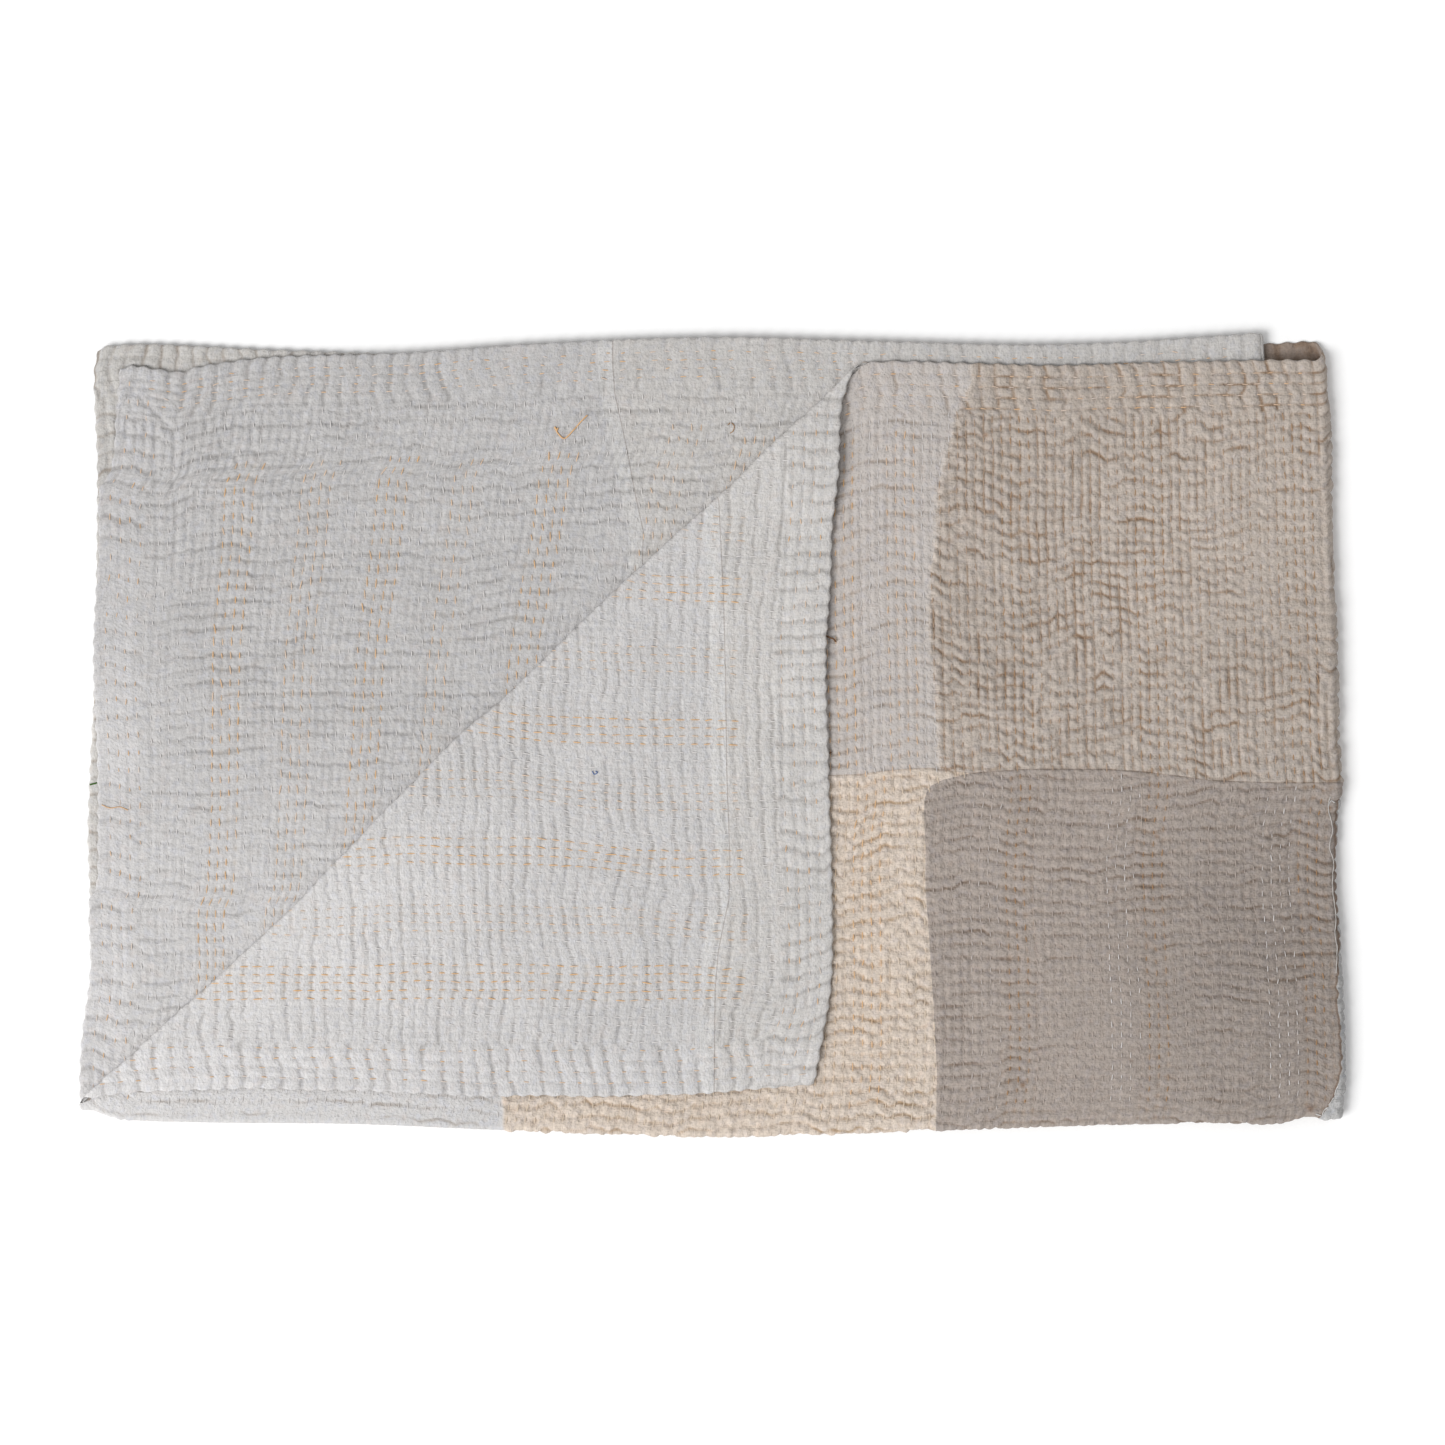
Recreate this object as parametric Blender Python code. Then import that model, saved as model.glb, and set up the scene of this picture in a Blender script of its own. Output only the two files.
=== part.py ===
"""A hand-quilted cotton blanket, folded in four, with one corner of the top layer turned back.

The cloth is one rectangle. It is folded in half along its bottom fold, and in half again along its right
fold. The layers are named from the bottom up: base, lower, upper and top. The top layer's left corner is
then turned back along a diagonal crease. The origin is under the middle of the folded blanket, on the
surface that it lies on. X runs along the bottom fold, Y runs up the side hems and Z points up.
"""

import math
import random

import bmesh
import bpy
from mathutils import Vector

MM = 0.001

# The cloth, and how its layers lie.
THICKNESS = 2.6 * MM
RIB_HEIGHT = 0.5 * MM
LAYER_PITCH = 4.8 * MM
INNER_BEND_RADIUS = 2.4 * MM
CREASE_BEND_RADIUS = 2.8 * MM
OUTER_BEND_RADIUS = INNER_BEND_RADIUS + LAYER_PITCH
HEM_BEND_RADIUS = LAYER_PITCH / 2
BASE_Z = THICKNESS / 2
MIDDLE_Z = BASE_Z + OUTER_BEND_RADIUS
TOP_Z = MIDDLE_Z + OUTER_BEND_RADIUS

# How the sheet is divided: bands of rows across the side hems, each of a few quilting ribs, and columns
# along the bottom fold, as shares of a layer's width.
BANDS = 19
ROWS_PER_BAND = 6
TOP_COLUMNS = (0.0, 0.09, 0.2, 0.31, 0.41, 0.52, 0.64, 0.76, 0.89, 1.0)
BASE_COLUMNS = (1.0, 0.75, 0.5, 0.25, 0.0)
RIGHT_FOLD_STEPS = 5
BOTTOM_FOLD_STEPS = 4
CREASE_STEPS = 4
ROW_WANDER = 0.22
LOWEST_RIB_SHARE = 0.6
SEED = 7

# The stack is puffier in some places than in others. Each row is a soft bulge of every layer.
PUFFS = (
    # x_mm, y_mm, radius_mm, share of the height added
    (-330, -150, 260, 0.10),
    (60, -60, 240, 0.16),
    (470, 120, 230, 0.22),
    (540, -250, 190, 0.18),
    (-420, 250, 220, 0.08),
    (180, -290, 200, -0.08),
)

# The flap's free edge stands up from the layer below it along part of its length.
LIFTS = (
    # x_mm, y_mm, radius_mm, height_mm
    (122, 255, 95, 7.0),
    (112, 90, 110, 3.0),
    (104, -290, 80, 2.5),
)

# Ribs flatten out this far from where the cloth bends at the crease.
CREASE_CLEARANCE = 12 * MM

# The diagonal crease runs straight from the lower left to the upper right, but for a slight bow.
CREASE_FROM = Vector((-586, -350)) * MM
CREASE_TO = Vector((132, 335)) * MM
CREASE_BOW = (
    # along_mm, out_mm
    (-20, 9.0),
    (10, 6.0),
    (60, 4.0),
    (110, 3.5),
    (160, 1.0),
    (260, -0.4),
    (330, 3.0),
    (400, 6.0),
    (490, 9.0),
    (545, 5.0),
    (680, 6.5),
    (754, 5.0),
    (848, 2.5),
    (890, 4.0),
    (960, 2.0),
    (1000, 3.0),
    (1100, 4.0),
)

# Outlines as x and y in millimetres. Side edges run from the top down, the others from left to right.
FLAP_BOTTOM_EDGE = (
    # x_mm, y_mm
    (-584, -344),
    (-543, -339),
    (-475, -337),
    (-393, -337),
    (-284, -340),
    (-194, -343),
    (-140, -343),
    (-58, -342),
    (24, -338),
    (87, -333),
    (96, -331),
)
FLAP_SIDE_EDGE = (
    # x_mm, y_mm, from the flap's corner up
    (99, -313),
    (104, -286),
    (110, -253),
    (113, -215),
    (112, -119),
    (109, -20),
    (107, 86),
    (111, 140),
    (112, 180),
    (118, 240),
    (120, 290),
    (122, 312),
    (128, 332),
)
TOP_LAYER_TOP_HEM = (
    # x_mm, y_mm, right of the crease
    (150, 351),
    (242, 350),
    (321, 348),
    (397, 350),
    (522, 353),
)
UPPER_SIDE_HEM = (
    (-564, 321),
    (-566, 300),
    (-567, 273),
    (-571, 248),
    (-581, 231),
    (-582, 174),
    (-586, 109),
    (-587, 60),
    (-583, -37),
    (-583, -92),
    (-584, -143),
    (-591, -160),
    (-590, -225),
    (-598, -288),
    (-600, -330),
)
UPPER_TOP_HEM = (
    (-550, 348),
    (-504, 342),
    (-488, 347),
    (-420, 356),
    (-297, 360),
    (-167, 369),
    (-3, 375),
    (133, 372),
    (291, 368),
    (382, 370),
    (443, 374),
)
LOWER_SIDE_HEM = (
    (-585, 357),
    (-587, 338),
    (-586, 302),
    (-584, 255),
    (-585, 140),
    (-587, 45),
    (-591, -37),
    (-593, -95),
    (-592, -130),
    (-590, -170),
    (-586, -250),
    (-590, -330),
)
LOWER_TOP_HEM = (
    (-575, 367),
    (-544, 369),
    (-506, 368),
    (-411, 363),
    (-286, 360),
    (-100, 362),
    (200, 361),
    (400, 365),
)
BASE_SIDE_HEM = (
    (-578, 350),
    (-577, 250),
    (-580, 100),
    (-581, -60),
    (-579, -200),
    (-585, -320),
)
BASE_TOP_HEM = (
    (-560, 356),
    (-300, 352),
    (0, 355),
    (300, 357),
    (500, 368),
)
OUTER_RIGHT_FOLD = (
    # the fold's outermost reach
    (581, 345),
    (584, 290),
    (587, 180),
    (591, 66),
    (593, -15),
    (596, -50),
    (591, -86),
    (590, -146),
    (594, -200),
    (598, -275),
    (599, -330),
)
INNER_RIGHT_FOLD = (
    (524, 340),
    (530, 250),
    (543, 120),
    (556, -20),
    (570, -180),
    (580, -320),
)
BOTTOM_FOLD = (
    # the fold's lowest reach
    (-586, -357),
    (-573, -362),
    (-556, -366),
    (-500, -368),
    (-440, -369),
    (-338, -370),
    (-194, -376),
    (-58, -380),
    (24, -381),
    (140, -378),
    (261, -374),
    (352, -371),
    (443, -369),
    (533, -369),
    (552, -365),
    (566, -363),
    (580, -367),
)

# Where the folds and hems meet, as x and y in millimetres. Those on a fold are its outermost reach.
FOLDS_CORNER = (596, -366)
BOTTOM_FOLD_LEFT = (-599, -356)
HIDDEN_FOLD_LEFT = (-592, -354)
TOP_FOLD_END = (579, 353)
UPPER_FOLD_END = (522, 379)
LOWER_FOLD_END = (521, 375)
BASE_FOLD_END = (577, 372)
UPPER_HEM_CORNER = (-562, 345)
LOWER_HEM_CORNER = (-583, 363)
BASE_HEM_CORNER = (-576, 356)
# How far a hidden fold stays back from the one over it, in millimetres.
STAGGER = 1.0

# The share of the top layer's width where the crease and the flap's side edge leave off.
FLAP_REACH = 0.61
CLOSE = 1e-3 * MM
FABRIC_COLOUR = (0.60, 0.57, 0.54, 1.0)


def clear_scene():
    for thing in list(bpy.data.objects):
        bpy.data.objects.remove(thing, do_unlink=True)


def smoothstep(share):
    share = min(max(share, 0.0), 1.0)
    return share * share * (3 - 2 * share)


class Edge:
    """A smooth curve through points, read by its share of the length from its first point."""

    def __init__(self, points):
        self.points = points
        self.reach = [0.0]
        for start, end in zip(points, points[1:]):
            self.reach.append(self.reach[-1] + (end - start).length)

    def slope(self, index):
        before = max(index - 1, 0)
        after = min(index + 1, len(self.points) - 1)
        rise = self.points[after] - self.points[before]
        return rise / (self.reach[after] - self.reach[before])

    def at(self, share):
        place = min(max(share, 0.0), 1.0) * self.reach[-1]
        index = 0
        while index < len(self.points) - 2 and self.reach[index + 1] < place:
            index += 1
        span = self.reach[index + 1] - self.reach[index]
        part = (place - self.reach[index]) / span
        start, end = self.points[index], self.points[index + 1]
        pull_start, pull_end = self.slope(index) * span, self.slope(index + 1) * span
        blend = smoothstep(part)
        point = start.lerp(end, blend)
        point += pull_start * (part * (1 - part) ** 2)
        point -= pull_end * (part**2 * (1 - part))
        return point


class Layer:
    """The plan of one layer, as a patch between its four edges."""

    def __init__(self, side_hem, fold, top_hem, bottom_fold):
        self.left = Edge(side_hem)
        self.right = Edge(fold)
        self.top = Edge(top_hem)
        self.bottom = Edge(bottom_fold)

    def at(self, across, down):
        between_sides = self.left.at(down).lerp(self.right.at(down), across)
        between_ends = self.top.at(across).lerp(self.bottom.at(across), down)
        top_corners = self.top.points[0].lerp(self.top.points[-1], across)
        bottom_corners = self.bottom.points[0].lerp(self.bottom.points[-1], across)
        return between_sides + between_ends - top_corners.lerp(bottom_corners, down)


class Crease:
    """The diagonal about which the top layer's corner turns back. Out is towards the corner."""

    def __init__(self):
        self.start = CREASE_FROM
        self.along = (CREASE_TO - CREASE_FROM).normalized()
        self.out = Vector((-self.along.y, self.along.x))
        self.half_turn = math.pi * CREASE_BEND_RADIUS

    def bow(self, along):
        rows = CREASE_BOW
        place = min(max(along / MM, rows[0][0]), rows[-1][0])
        index = 0
        while index < len(rows) - 2 and rows[index + 1][0] < place:
            index += 1
        low, high = rows[index], rows[index + 1]
        share = (place - low[0]) / (high[0] - low[0])
        return (low[1] + (high[1] - low[1]) * smoothstep(share)) * MM

    def measure(self, point):
        """How far along the crease a point lies, and how far out from its bowed line."""
        offset = point - self.start
        along = offset.dot(self.along)
        return along, offset.dot(self.out) - self.bow(along)

    def place(self, along, out):
        return self.start + self.along * along + self.out * (out + self.bow(along))

    def unturned(self, point):
        """Where a point of the turned-back flap lies before the corner is turned."""
        along, out = self.measure(point)
        return self.place(along, self.half_turn - out)

    def turned(self, point):
        """A point of the top layer with the corner turned back, its rise, and where its front faces."""
        along, out = self.measure(point)
        turn = min(max(out / CREASE_BEND_RADIUS, 0.0), math.pi)
        past = max(out - self.half_turn, 0.0)
        reach = min(out, CREASE_BEND_RADIUS * math.sin(turn)) - past
        rise = CREASE_BEND_RADIUS * (1 - math.cos(turn))
        facing = Vector((0, 0, math.cos(turn))) - self.out.to_3d() * math.sin(turn)
        return self.place(along, reach), rise, facing


def as_points(rows, shift=(0.0, 0.0)):
    return [Vector((x + shift[0], y + shift[1])) * MM for x, y in rows]


def make_layers(crease):
    """The plans of the four layers, which share the lines where their folds start to bend."""
    skin = THICKNESS / 2 / MM
    outer_bend = (-(OUTER_BEND_RADIUS / MM + skin), 0.0)
    inner_bend = (-(INNER_BEND_RADIUS / MM + skin), 0.0)
    up = HEM_BEND_RADIUS / MM + skin
    outer_fold = as_points(OUTER_RIGHT_FOLD, outer_bend)
    inner_fold = as_points(INNER_RIGHT_FOLD, inner_bend)
    bottom = as_points(BOTTOM_FOLD, (0.0, up))
    hidden_bottom = as_points(BOTTOM_FOLD, (0.0, up + STAGGER))
    (corner,) = as_points([FOLDS_CORNER], (outer_bend[0], up))
    (inner_corner,) = as_points([FOLDS_CORNER], (outer_bend[0] - STAGGER, up))
    (left_end,) = as_points([BOTTOM_FOLD_LEFT], (0.0, up))
    (hidden_left_end,) = as_points([HIDDEN_FOLD_LEFT], (0.0, up))
    (top_fold_end,) = as_points([TOP_FOLD_END], outer_bend)
    (upper_fold_end,) = as_points([UPPER_FOLD_END], inner_bend)
    (lower_fold_end,) = as_points([LOWER_FOLD_END], inner_bend)
    (base_fold_end,) = as_points([BASE_FOLD_END], outer_bend)
    flap_bottom = [crease.unturned(point) for point in as_points(FLAP_BOTTOM_EDGE)]
    flap_side = [crease.unturned(point) for point in as_points(FLAP_SIDE_EDGE)]
    top_corner = flap_bottom.pop()
    (upper_corner,) = as_points([UPPER_HEM_CORNER])
    (lower_corner,) = as_points([LOWER_HEM_CORNER])
    (base_corner,) = as_points([BASE_HEM_CORNER])
    top = Layer(
        [top_corner, *reversed(flap_bottom), left_end],
        [top_fold_end, *outer_fold, corner],
        [top_corner, *flap_side, *as_points(TOP_LAYER_TOP_HEM), top_fold_end],
        [left_end, *bottom, corner],
    )
    upper = Layer(
        [upper_corner, *as_points(UPPER_SIDE_HEM), left_end],
        [upper_fold_end, *inner_fold, inner_corner],
        [upper_corner, *as_points(UPPER_TOP_HEM), upper_fold_end],
        [left_end, *bottom, inner_corner],
    )
    lower = Layer(
        [lower_corner, *as_points(LOWER_SIDE_HEM), hidden_left_end],
        [lower_fold_end, *inner_fold, inner_corner],
        [lower_corner, *as_points(LOWER_TOP_HEM), lower_fold_end],
        [hidden_left_end, *hidden_bottom, inner_corner],
    )
    base = Layer(
        [base_corner, *as_points(BASE_SIDE_HEM), hidden_left_end],
        [base_fold_end, *outer_fold, corner],
        [base_corner, *as_points(BASE_TOP_HEM), base_fold_end],
        [hidden_left_end, *hidden_bottom, corner],
    )
    return {"top": top, "upper": upper, "lower": lower, "base": base}


def outer_share(turn):
    """How far out in the bottom fold's slab a point lies: 1 on its outer cloth, 0 on its inner."""
    return (1 + math.cos(math.pi * turn)) / 2


def unturned_place(layers, across, right_turn, down, bottom_turn):
    """A point of the cloth folded in four, before its corner is turned back.

    across and down are shares of a layer, and each turn is how far round its fold the point lies.
    """
    outer = outer_share(bottom_turn)
    on_top = layers["upper"].at(across, down).lerp(layers["top"].at(across, down), outer)
    below = layers["lower"].at(across, down).lerp(layers["base"].at(across, down), outer)
    plan = below.lerp(on_top, outer_share(right_turn))
    radius = INNER_BEND_RADIUS + LAYER_PITCH * outer
    x = plan.x + radius * math.sin(math.pi * right_turn)
    y = plan.y - HEM_BEND_RADIUS * math.sin(math.pi * bottom_turn)
    return Vector((x, y, MIDDLE_Z + radius * math.cos(math.pi * right_turn)))


def across_stations():
    """The columns: the share across a layer, and the turn round the right fold."""
    over = [(share, 0.0) for share in TOP_COLUMNS]
    turning = [(1.0, step / RIGHT_FOLD_STEPS) for step in range(1, RIGHT_FOLD_STEPS)]
    under = [(share, 1.0) for share in BASE_COLUMNS]
    return over + turning + under


def down_stations():
    """The rows: the share down a layer, the turn round the bottom fold, and whether a band ends there."""
    rows = BANDS * ROWS_PER_BAND
    outer = [(row / rows, 0.0, row % ROWS_PER_BAND == 0) for row in range(rows + 1)]
    turning = [(1.0, step / BOTTOM_FOLD_STEPS, True) for step in range(1, BOTTOM_FOLD_STEPS)]
    inner = [(share, 1.0, ends) for share, _, ends in reversed(outer)]
    return outer + turning + inner


def has_ribs(column, row, across, down):
    """Whether a cell between two bands carries ribs: only the cloth that can be seen does."""
    if column >= len(TOP_COLUMNS) - 1:
        return False
    left, right = across[column][0], across[column + 1][0]
    top = min(down[row][0], down[row + 1][0])
    by_the_flap = left / FLAP_REACH + top < 1.0
    in_top_layer = down[row][1] == 0.0
    return by_the_flap or (in_top_layer and right > FLAP_REACH)


class Sheet:
    """The middle surface of the cloth, as cells on a lattice of columns and rows."""

    def __init__(self, layers):
        self.layers = layers
        self.mesh = bmesh.new()
        self.rib = self.mesh.verts.layers.float.new("rib")
        self.across = across_stations()
        self.down = down_stations()
        self.corners = {}
        self.random = random.Random(SEED)

    def corner(self, column, row):
        if (column, row) not in self.corners:
            self.corners[column, row] = self.new_corner(column, row)
        return self.corners[column, row]

    def new_corner(self, column, row):
        share, right_turn = self.across[column]
        down, bottom_turn, ends_band = self.down[row]
        height = 0.0
        if not ends_band:
            spacing = 1 / (BANDS * ROWS_PER_BAND)
            down += spacing * ROW_WANDER * self.random.uniform(-1, 1)
        if row % 2 == 1 and bottom_turn in (0.0, 1.0) and right_turn == 0.0:
            height = RIB_HEIGHT * self.random.uniform(LOWEST_RIB_SHARE, 1.0)
        place = unturned_place(self.layers, share, right_turn, down, bottom_turn)
        vertex = self.mesh.verts.new(place)
        vertex[self.rib] = height
        return vertex

    def build(self):
        ends = [row for row, station in enumerate(self.down) if station[2]]
        bands = list(zip(ends, ends[1:]))
        columns = range(len(self.across) - 1)
        ribbed = {
            (column, first)
            for column in columns
            for first, last in bands
            if last - first > 1 and has_ribs(column, first, self.across, self.down)
        }
        for column, first in sorted(ribbed):
            for row in range(first, first + ROWS_PER_BAND + 1):
                self.corner(column, row)
                self.corner(column + 1, row)
        for first, last in bands:
            for column in columns:
                if (column, first) in ribbed:
                    for row in range(first, last):
                        self.cell(column, row, row + 1)
                else:
                    self.cell(column, first, last)

    def cell(self, column, first, last):
        left = [self.corner(column, first)]
        right = [self.corner(column + 1, first)]
        for row in range(first + 1, last):
            for side, place in ((left, column), (right, column + 1)):
                if (place, row) in self.corners:
                    side.append(self.corners[place, row])
        left.append(self.corner(column, last))
        right.append(self.corner(column + 1, last))
        self.mesh.faces.new(left + right[::-1])


def is_in_top_layer(vertex):
    """True in the top layer as long as its corner isn't turned back."""
    return abs(vertex.co.z - TOP_Z) < CLOSE


def cut_crease(mesh, crease):
    """Cuts the top layer along the lines between which the cloth bends at the crease."""
    out = crease.out.to_3d()
    for vertex in filter(is_in_top_layer, mesh.verts):
        along, _ = crease.measure(vertex.co.xy)
        vertex.co -= out * crease.bow(along)
    for step in range(CREASE_STEPS + 1):
        faces = [face for face in mesh.faces if all(is_in_top_layer(v) for v in face.verts)]
        edges = {edge for face in faces for edge in face.edges}
        vertices = {vertex for face in faces for vertex in face.verts}
        bmesh.ops.bisect_plane(
            mesh,
            geom=[*vertices, *edges, *faces],
            dist=CLOSE,
            plane_co=crease.start.to_3d() + out * (crease.half_turn * step / CREASE_STEPS),
            plane_no=out,
        )
    for vertex in filter(is_in_top_layer, mesh.verts):
        along, _ = crease.measure(vertex.co.xy)
        vertex.co += out * crease.bow(along)


def smooth_crease(mesh, rib, crease):
    """Flattens the ribs where the cloth bends at the crease."""
    middle = crease.half_turn / 2
    for vertex in filter(is_in_top_layer, mesh.verts):
        _, out = crease.measure(vertex.co.xy)
        clear = abs(out - middle) - middle
        vertex[rib] *= smoothstep(clear / CREASE_CLEARANCE)


def bulge(x, y, rows):
    """The sum of soft round bulges at a place."""
    total = 0.0
    for centre_x, centre_y, radius, height in rows:
        distance = math.hypot(x / MM - centre_x, y / MM - centre_y)
        total += height * smoothstep(1 - distance / radius)
    return total


def turn_corner(mesh, crease):
    """Turns the top layer's corner back, lifts the flap's free edge, and tells where each point faces."""
    facing = {}
    for vertex in list(filter(is_in_top_layer, mesh.verts)):
        place, height, facing[vertex] = crease.turned(vertex.co.xy)
        on_flap = height / (2 * CREASE_BEND_RADIUS)
        height += on_flap * bulge(place.x, place.y, LIFTS) * MM
        vertex.co = (place.x, place.y, TOP_Z + height)
    return facing


def puff(mesh):
    for vertex in mesh.verts:
        share = 1 + bulge(vertex.co.x, vertex.co.y, PUFFS)
        vertex.co.z = BASE_Z + (vertex.co.z - BASE_Z) * share


def thickened(sheet, rib, facing):
    """The closed cloth: a face on either side of the middle surface, and a rim round its hems."""
    sheet.normal_update()
    solid = bmesh.new()
    front, back = {}, {}
    for vertex in sheet.verts:
        normal = facing.get(vertex, vertex.normal)
        half = normal * (THICKNESS / 2 + vertex[rib])
        front[vertex] = solid.verts.new(vertex.co + half)
        back[vertex] = solid.verts.new(vertex.co - half)
    for face in sheet.faces:
        solid.faces.new([front[vertex] for vertex in face.verts])
        solid.faces.new([back[vertex] for vertex in reversed(face.verts)])
        for loop in face.loops:
            if loop.edge.is_boundary:
                start, end = loop.vert, loop.link_loop_next.vert
                solid.faces.new((front[end], front[start], back[start], back[end]))
    bmesh.ops.triangulate(solid, faces=solid.faces[:])
    return solid


def fabric():
    material = bpy.data.materials.new("quilted_cotton")
    material.use_nodes = True
    shader = material.node_tree.nodes["Principled BSDF"]
    shader.inputs["Base Color"].default_value = FABRIC_COLOUR
    shader.inputs["Roughness"].default_value = 0.9
    shader.inputs["Metallic"].default_value = 0.0
    return material


def make_quilt():
    crease = Crease()
    sheet = Sheet(make_layers(crease))
    sheet.build()
    cut_crease(sheet.mesh, crease)
    smooth_crease(sheet.mesh, sheet.rib, crease)
    bmesh.ops.triangulate(sheet.mesh, faces=sheet.mesh.faces[:])
    facing = turn_corner(sheet.mesh, crease)
    puff(sheet.mesh)
    solid = thickened(sheet.mesh, sheet.rib, facing)
    data = bpy.data.meshes.new("quilt")
    solid.to_mesh(data)
    data.shade_smooth()
    data.materials.append(fabric())
    quilt = bpy.data.objects.new("quilt", data)
    bpy.context.collection.objects.link(quilt)
    return quilt


clear_scene()
make_quilt()
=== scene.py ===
"""The looks of a kantha quilt that lies folded in four with one corner turned back.

The cloth's folds are worked out from the same sizes as its solid's. Over them lie the patched front and
the plain back, puckered by rows of running stitch. Everything is in metres, with the origin under the
middle of the folded quilt.
"""

import math
from typing import NamedTuple

import bpy
import numpy as np
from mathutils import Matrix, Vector


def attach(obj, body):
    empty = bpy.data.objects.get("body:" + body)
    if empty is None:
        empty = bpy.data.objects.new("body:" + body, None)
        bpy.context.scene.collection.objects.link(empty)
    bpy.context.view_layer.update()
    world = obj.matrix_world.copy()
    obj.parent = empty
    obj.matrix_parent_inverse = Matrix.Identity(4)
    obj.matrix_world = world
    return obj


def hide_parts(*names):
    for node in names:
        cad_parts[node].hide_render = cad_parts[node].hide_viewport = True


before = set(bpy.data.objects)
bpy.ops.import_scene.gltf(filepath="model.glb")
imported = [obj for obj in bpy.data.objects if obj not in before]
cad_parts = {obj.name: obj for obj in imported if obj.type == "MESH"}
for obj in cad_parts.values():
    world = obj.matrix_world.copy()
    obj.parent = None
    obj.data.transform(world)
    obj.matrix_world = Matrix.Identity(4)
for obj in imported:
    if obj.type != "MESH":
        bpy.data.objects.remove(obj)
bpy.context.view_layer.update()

MM = 0.001

# The cloth and its layers, from the bottom up: base, lower, upper and top.
THICKNESS = 2.6 * MM
LAYER_PITCH = 4.8 * MM
INNER_BEND_RADIUS = 2.4 * MM
CREASE_BEND_RADIUS = 2.8 * MM
OUTER_BEND_RADIUS = INNER_BEND_RADIUS + LAYER_PITCH
HEM_BEND_RADIUS = LAYER_PITCH / 2
BASE_Z = THICKNESS / 2
MIDDLE_Z = BASE_Z + OUTER_BEND_RADIUS
TOP_Z = MIDDLE_Z + OUTER_BEND_RADIUS
WIDTH = 1.19
HEIGHT = 0.72
HALF_TURN = math.pi * CREASE_BEND_RADIUS

# Shares of a layer that the right fold and the bottom fold take up in the cloth's own coordinates.
RIGHT_TURN = 0.02
BOTTOM_TURN = 0.012

PUFFS = (
    # x_mm, y_mm, radius_mm, share of the height added
    (-330, -150, 260, 0.10),
    (60, -60, 240, 0.16),
    (470, 120, 230, 0.22),
    (540, -250, 190, 0.18),
    (-420, 250, 220, 0.08),
    (180, -290, 200, -0.08),
)
LIFTS = (
    # x_mm, y_mm, radius_mm, height_mm
    (122, 255, 95, 7.0),
    (112, 90, 110, 3.0),
    (104, -290, 80, 2.5),
)

CREASE_FROM = (-586, -350)
CREASE_TO = (132, 335)
CREASE_BOW = (
    # along_mm, out_mm
    (-20, 9.0),
    (10, 6.0),
    (60, 4.0),
    (110, 3.5),
    (160, 1.0),
    (260, -0.4),
    (330, 3.0),
    (400, 6.0),
    (490, 9.0),
    (545, 5.0),
    (680, 6.5),
    (754, 5.0),
    (848, 2.5),
    (890, 4.0),
    (960, 2.0),
    (1000, 3.0),
    (1100, 4.0),
)

# Outlines as x and y in millimetres. Side edges run from the top down, the others from left to right.
FLAP_BOTTOM_EDGE = (
    (-584, -344), (-543, -339), (-475, -337), (-393, -337), (-284, -340), (-194, -343),
    (-140, -343), (-58, -342), (24, -338), (87, -333), (96, -331),
)
FLAP_SIDE_EDGE = (
    (99, -313), (104, -286), (110, -253), (113, -215), (112, -119), (109, -20), (107, 86),
    (111, 140), (112, 180), (118, 240), (120, 290), (122, 312), (128, 332),
)
TOP_LAYER_TOP_HEM = ((150, 351), (242, 350), (321, 348), (397, 350), (522, 353))
UPPER_SIDE_HEM = (
    (-564, 321), (-566, 300), (-567, 273), (-571, 248), (-581, 231), (-582, 174), (-586, 109),
    (-587, 60), (-583, -37), (-583, -92), (-584, -143), (-591, -160), (-590, -225), (-598, -288),
    (-600, -330),
)
UPPER_TOP_HEM = (
    (-550, 348), (-504, 342), (-488, 347), (-420, 356), (-297, 360), (-167, 369), (-3, 375),
    (133, 372), (291, 368), (382, 370), (443, 374),
)
LOWER_SIDE_HEM = (
    (-585, 357), (-587, 338), (-586, 302), (-584, 255), (-585, 140), (-587, 45), (-591, -37),
    (-593, -95), (-592, -130), (-590, -170), (-586, -250), (-590, -330),
)
LOWER_TOP_HEM = (
    (-575, 367), (-544, 369), (-506, 368), (-411, 363), (-286, 360), (-100, 362), (200, 361), (400, 365),
)
BASE_SIDE_HEM = ((-578, 350), (-577, 250), (-580, 100), (-581, -60), (-579, -200), (-585, -320))
BASE_TOP_HEM = ((-560, 356), (-300, 352), (0, 355), (300, 357), (500, 368))
OUTER_RIGHT_FOLD = (
    (581, 345), (584, 290), (587, 180), (591, 66), (593, -15), (596, -50), (591, -86), (590, -146),
    (594, -200), (598, -275), (599, -330),
)
INNER_RIGHT_FOLD = ((524, 340), (530, 250), (543, 120), (556, -20), (570, -180), (580, -320))
BOTTOM_FOLD = (
    (-586, -357), (-573, -362), (-556, -366), (-500, -368), (-440, -369), (-338, -370), (-194, -376),
    (-58, -380), (24, -381), (140, -378), (261, -374), (352, -371), (443, -369), (533, -369),
    (552, -365), (566, -363), (580, -367),
)
FOLDS_CORNER = (596, -366)
BOTTOM_FOLD_LEFT = (-599, -356)
HIDDEN_FOLD_LEFT = (-592, -354)
TOP_FOLD_END = (579, 353)
UPPER_FOLD_END = (522, 379)
LOWER_FOLD_END = (521, 375)
BASE_FOLD_END = (577, 372)
UPPER_HEM_CORNER = (-562, 345)
LOWER_HEM_CORNER = (-583, 363)
BASE_HEM_CORNER = (-576, 356)
STAGGER = 1.0


def smoothstep(share):
    share = np.clip(share, 0.0, 1.0)
    return share * share * (3 - 2 * share)


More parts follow.
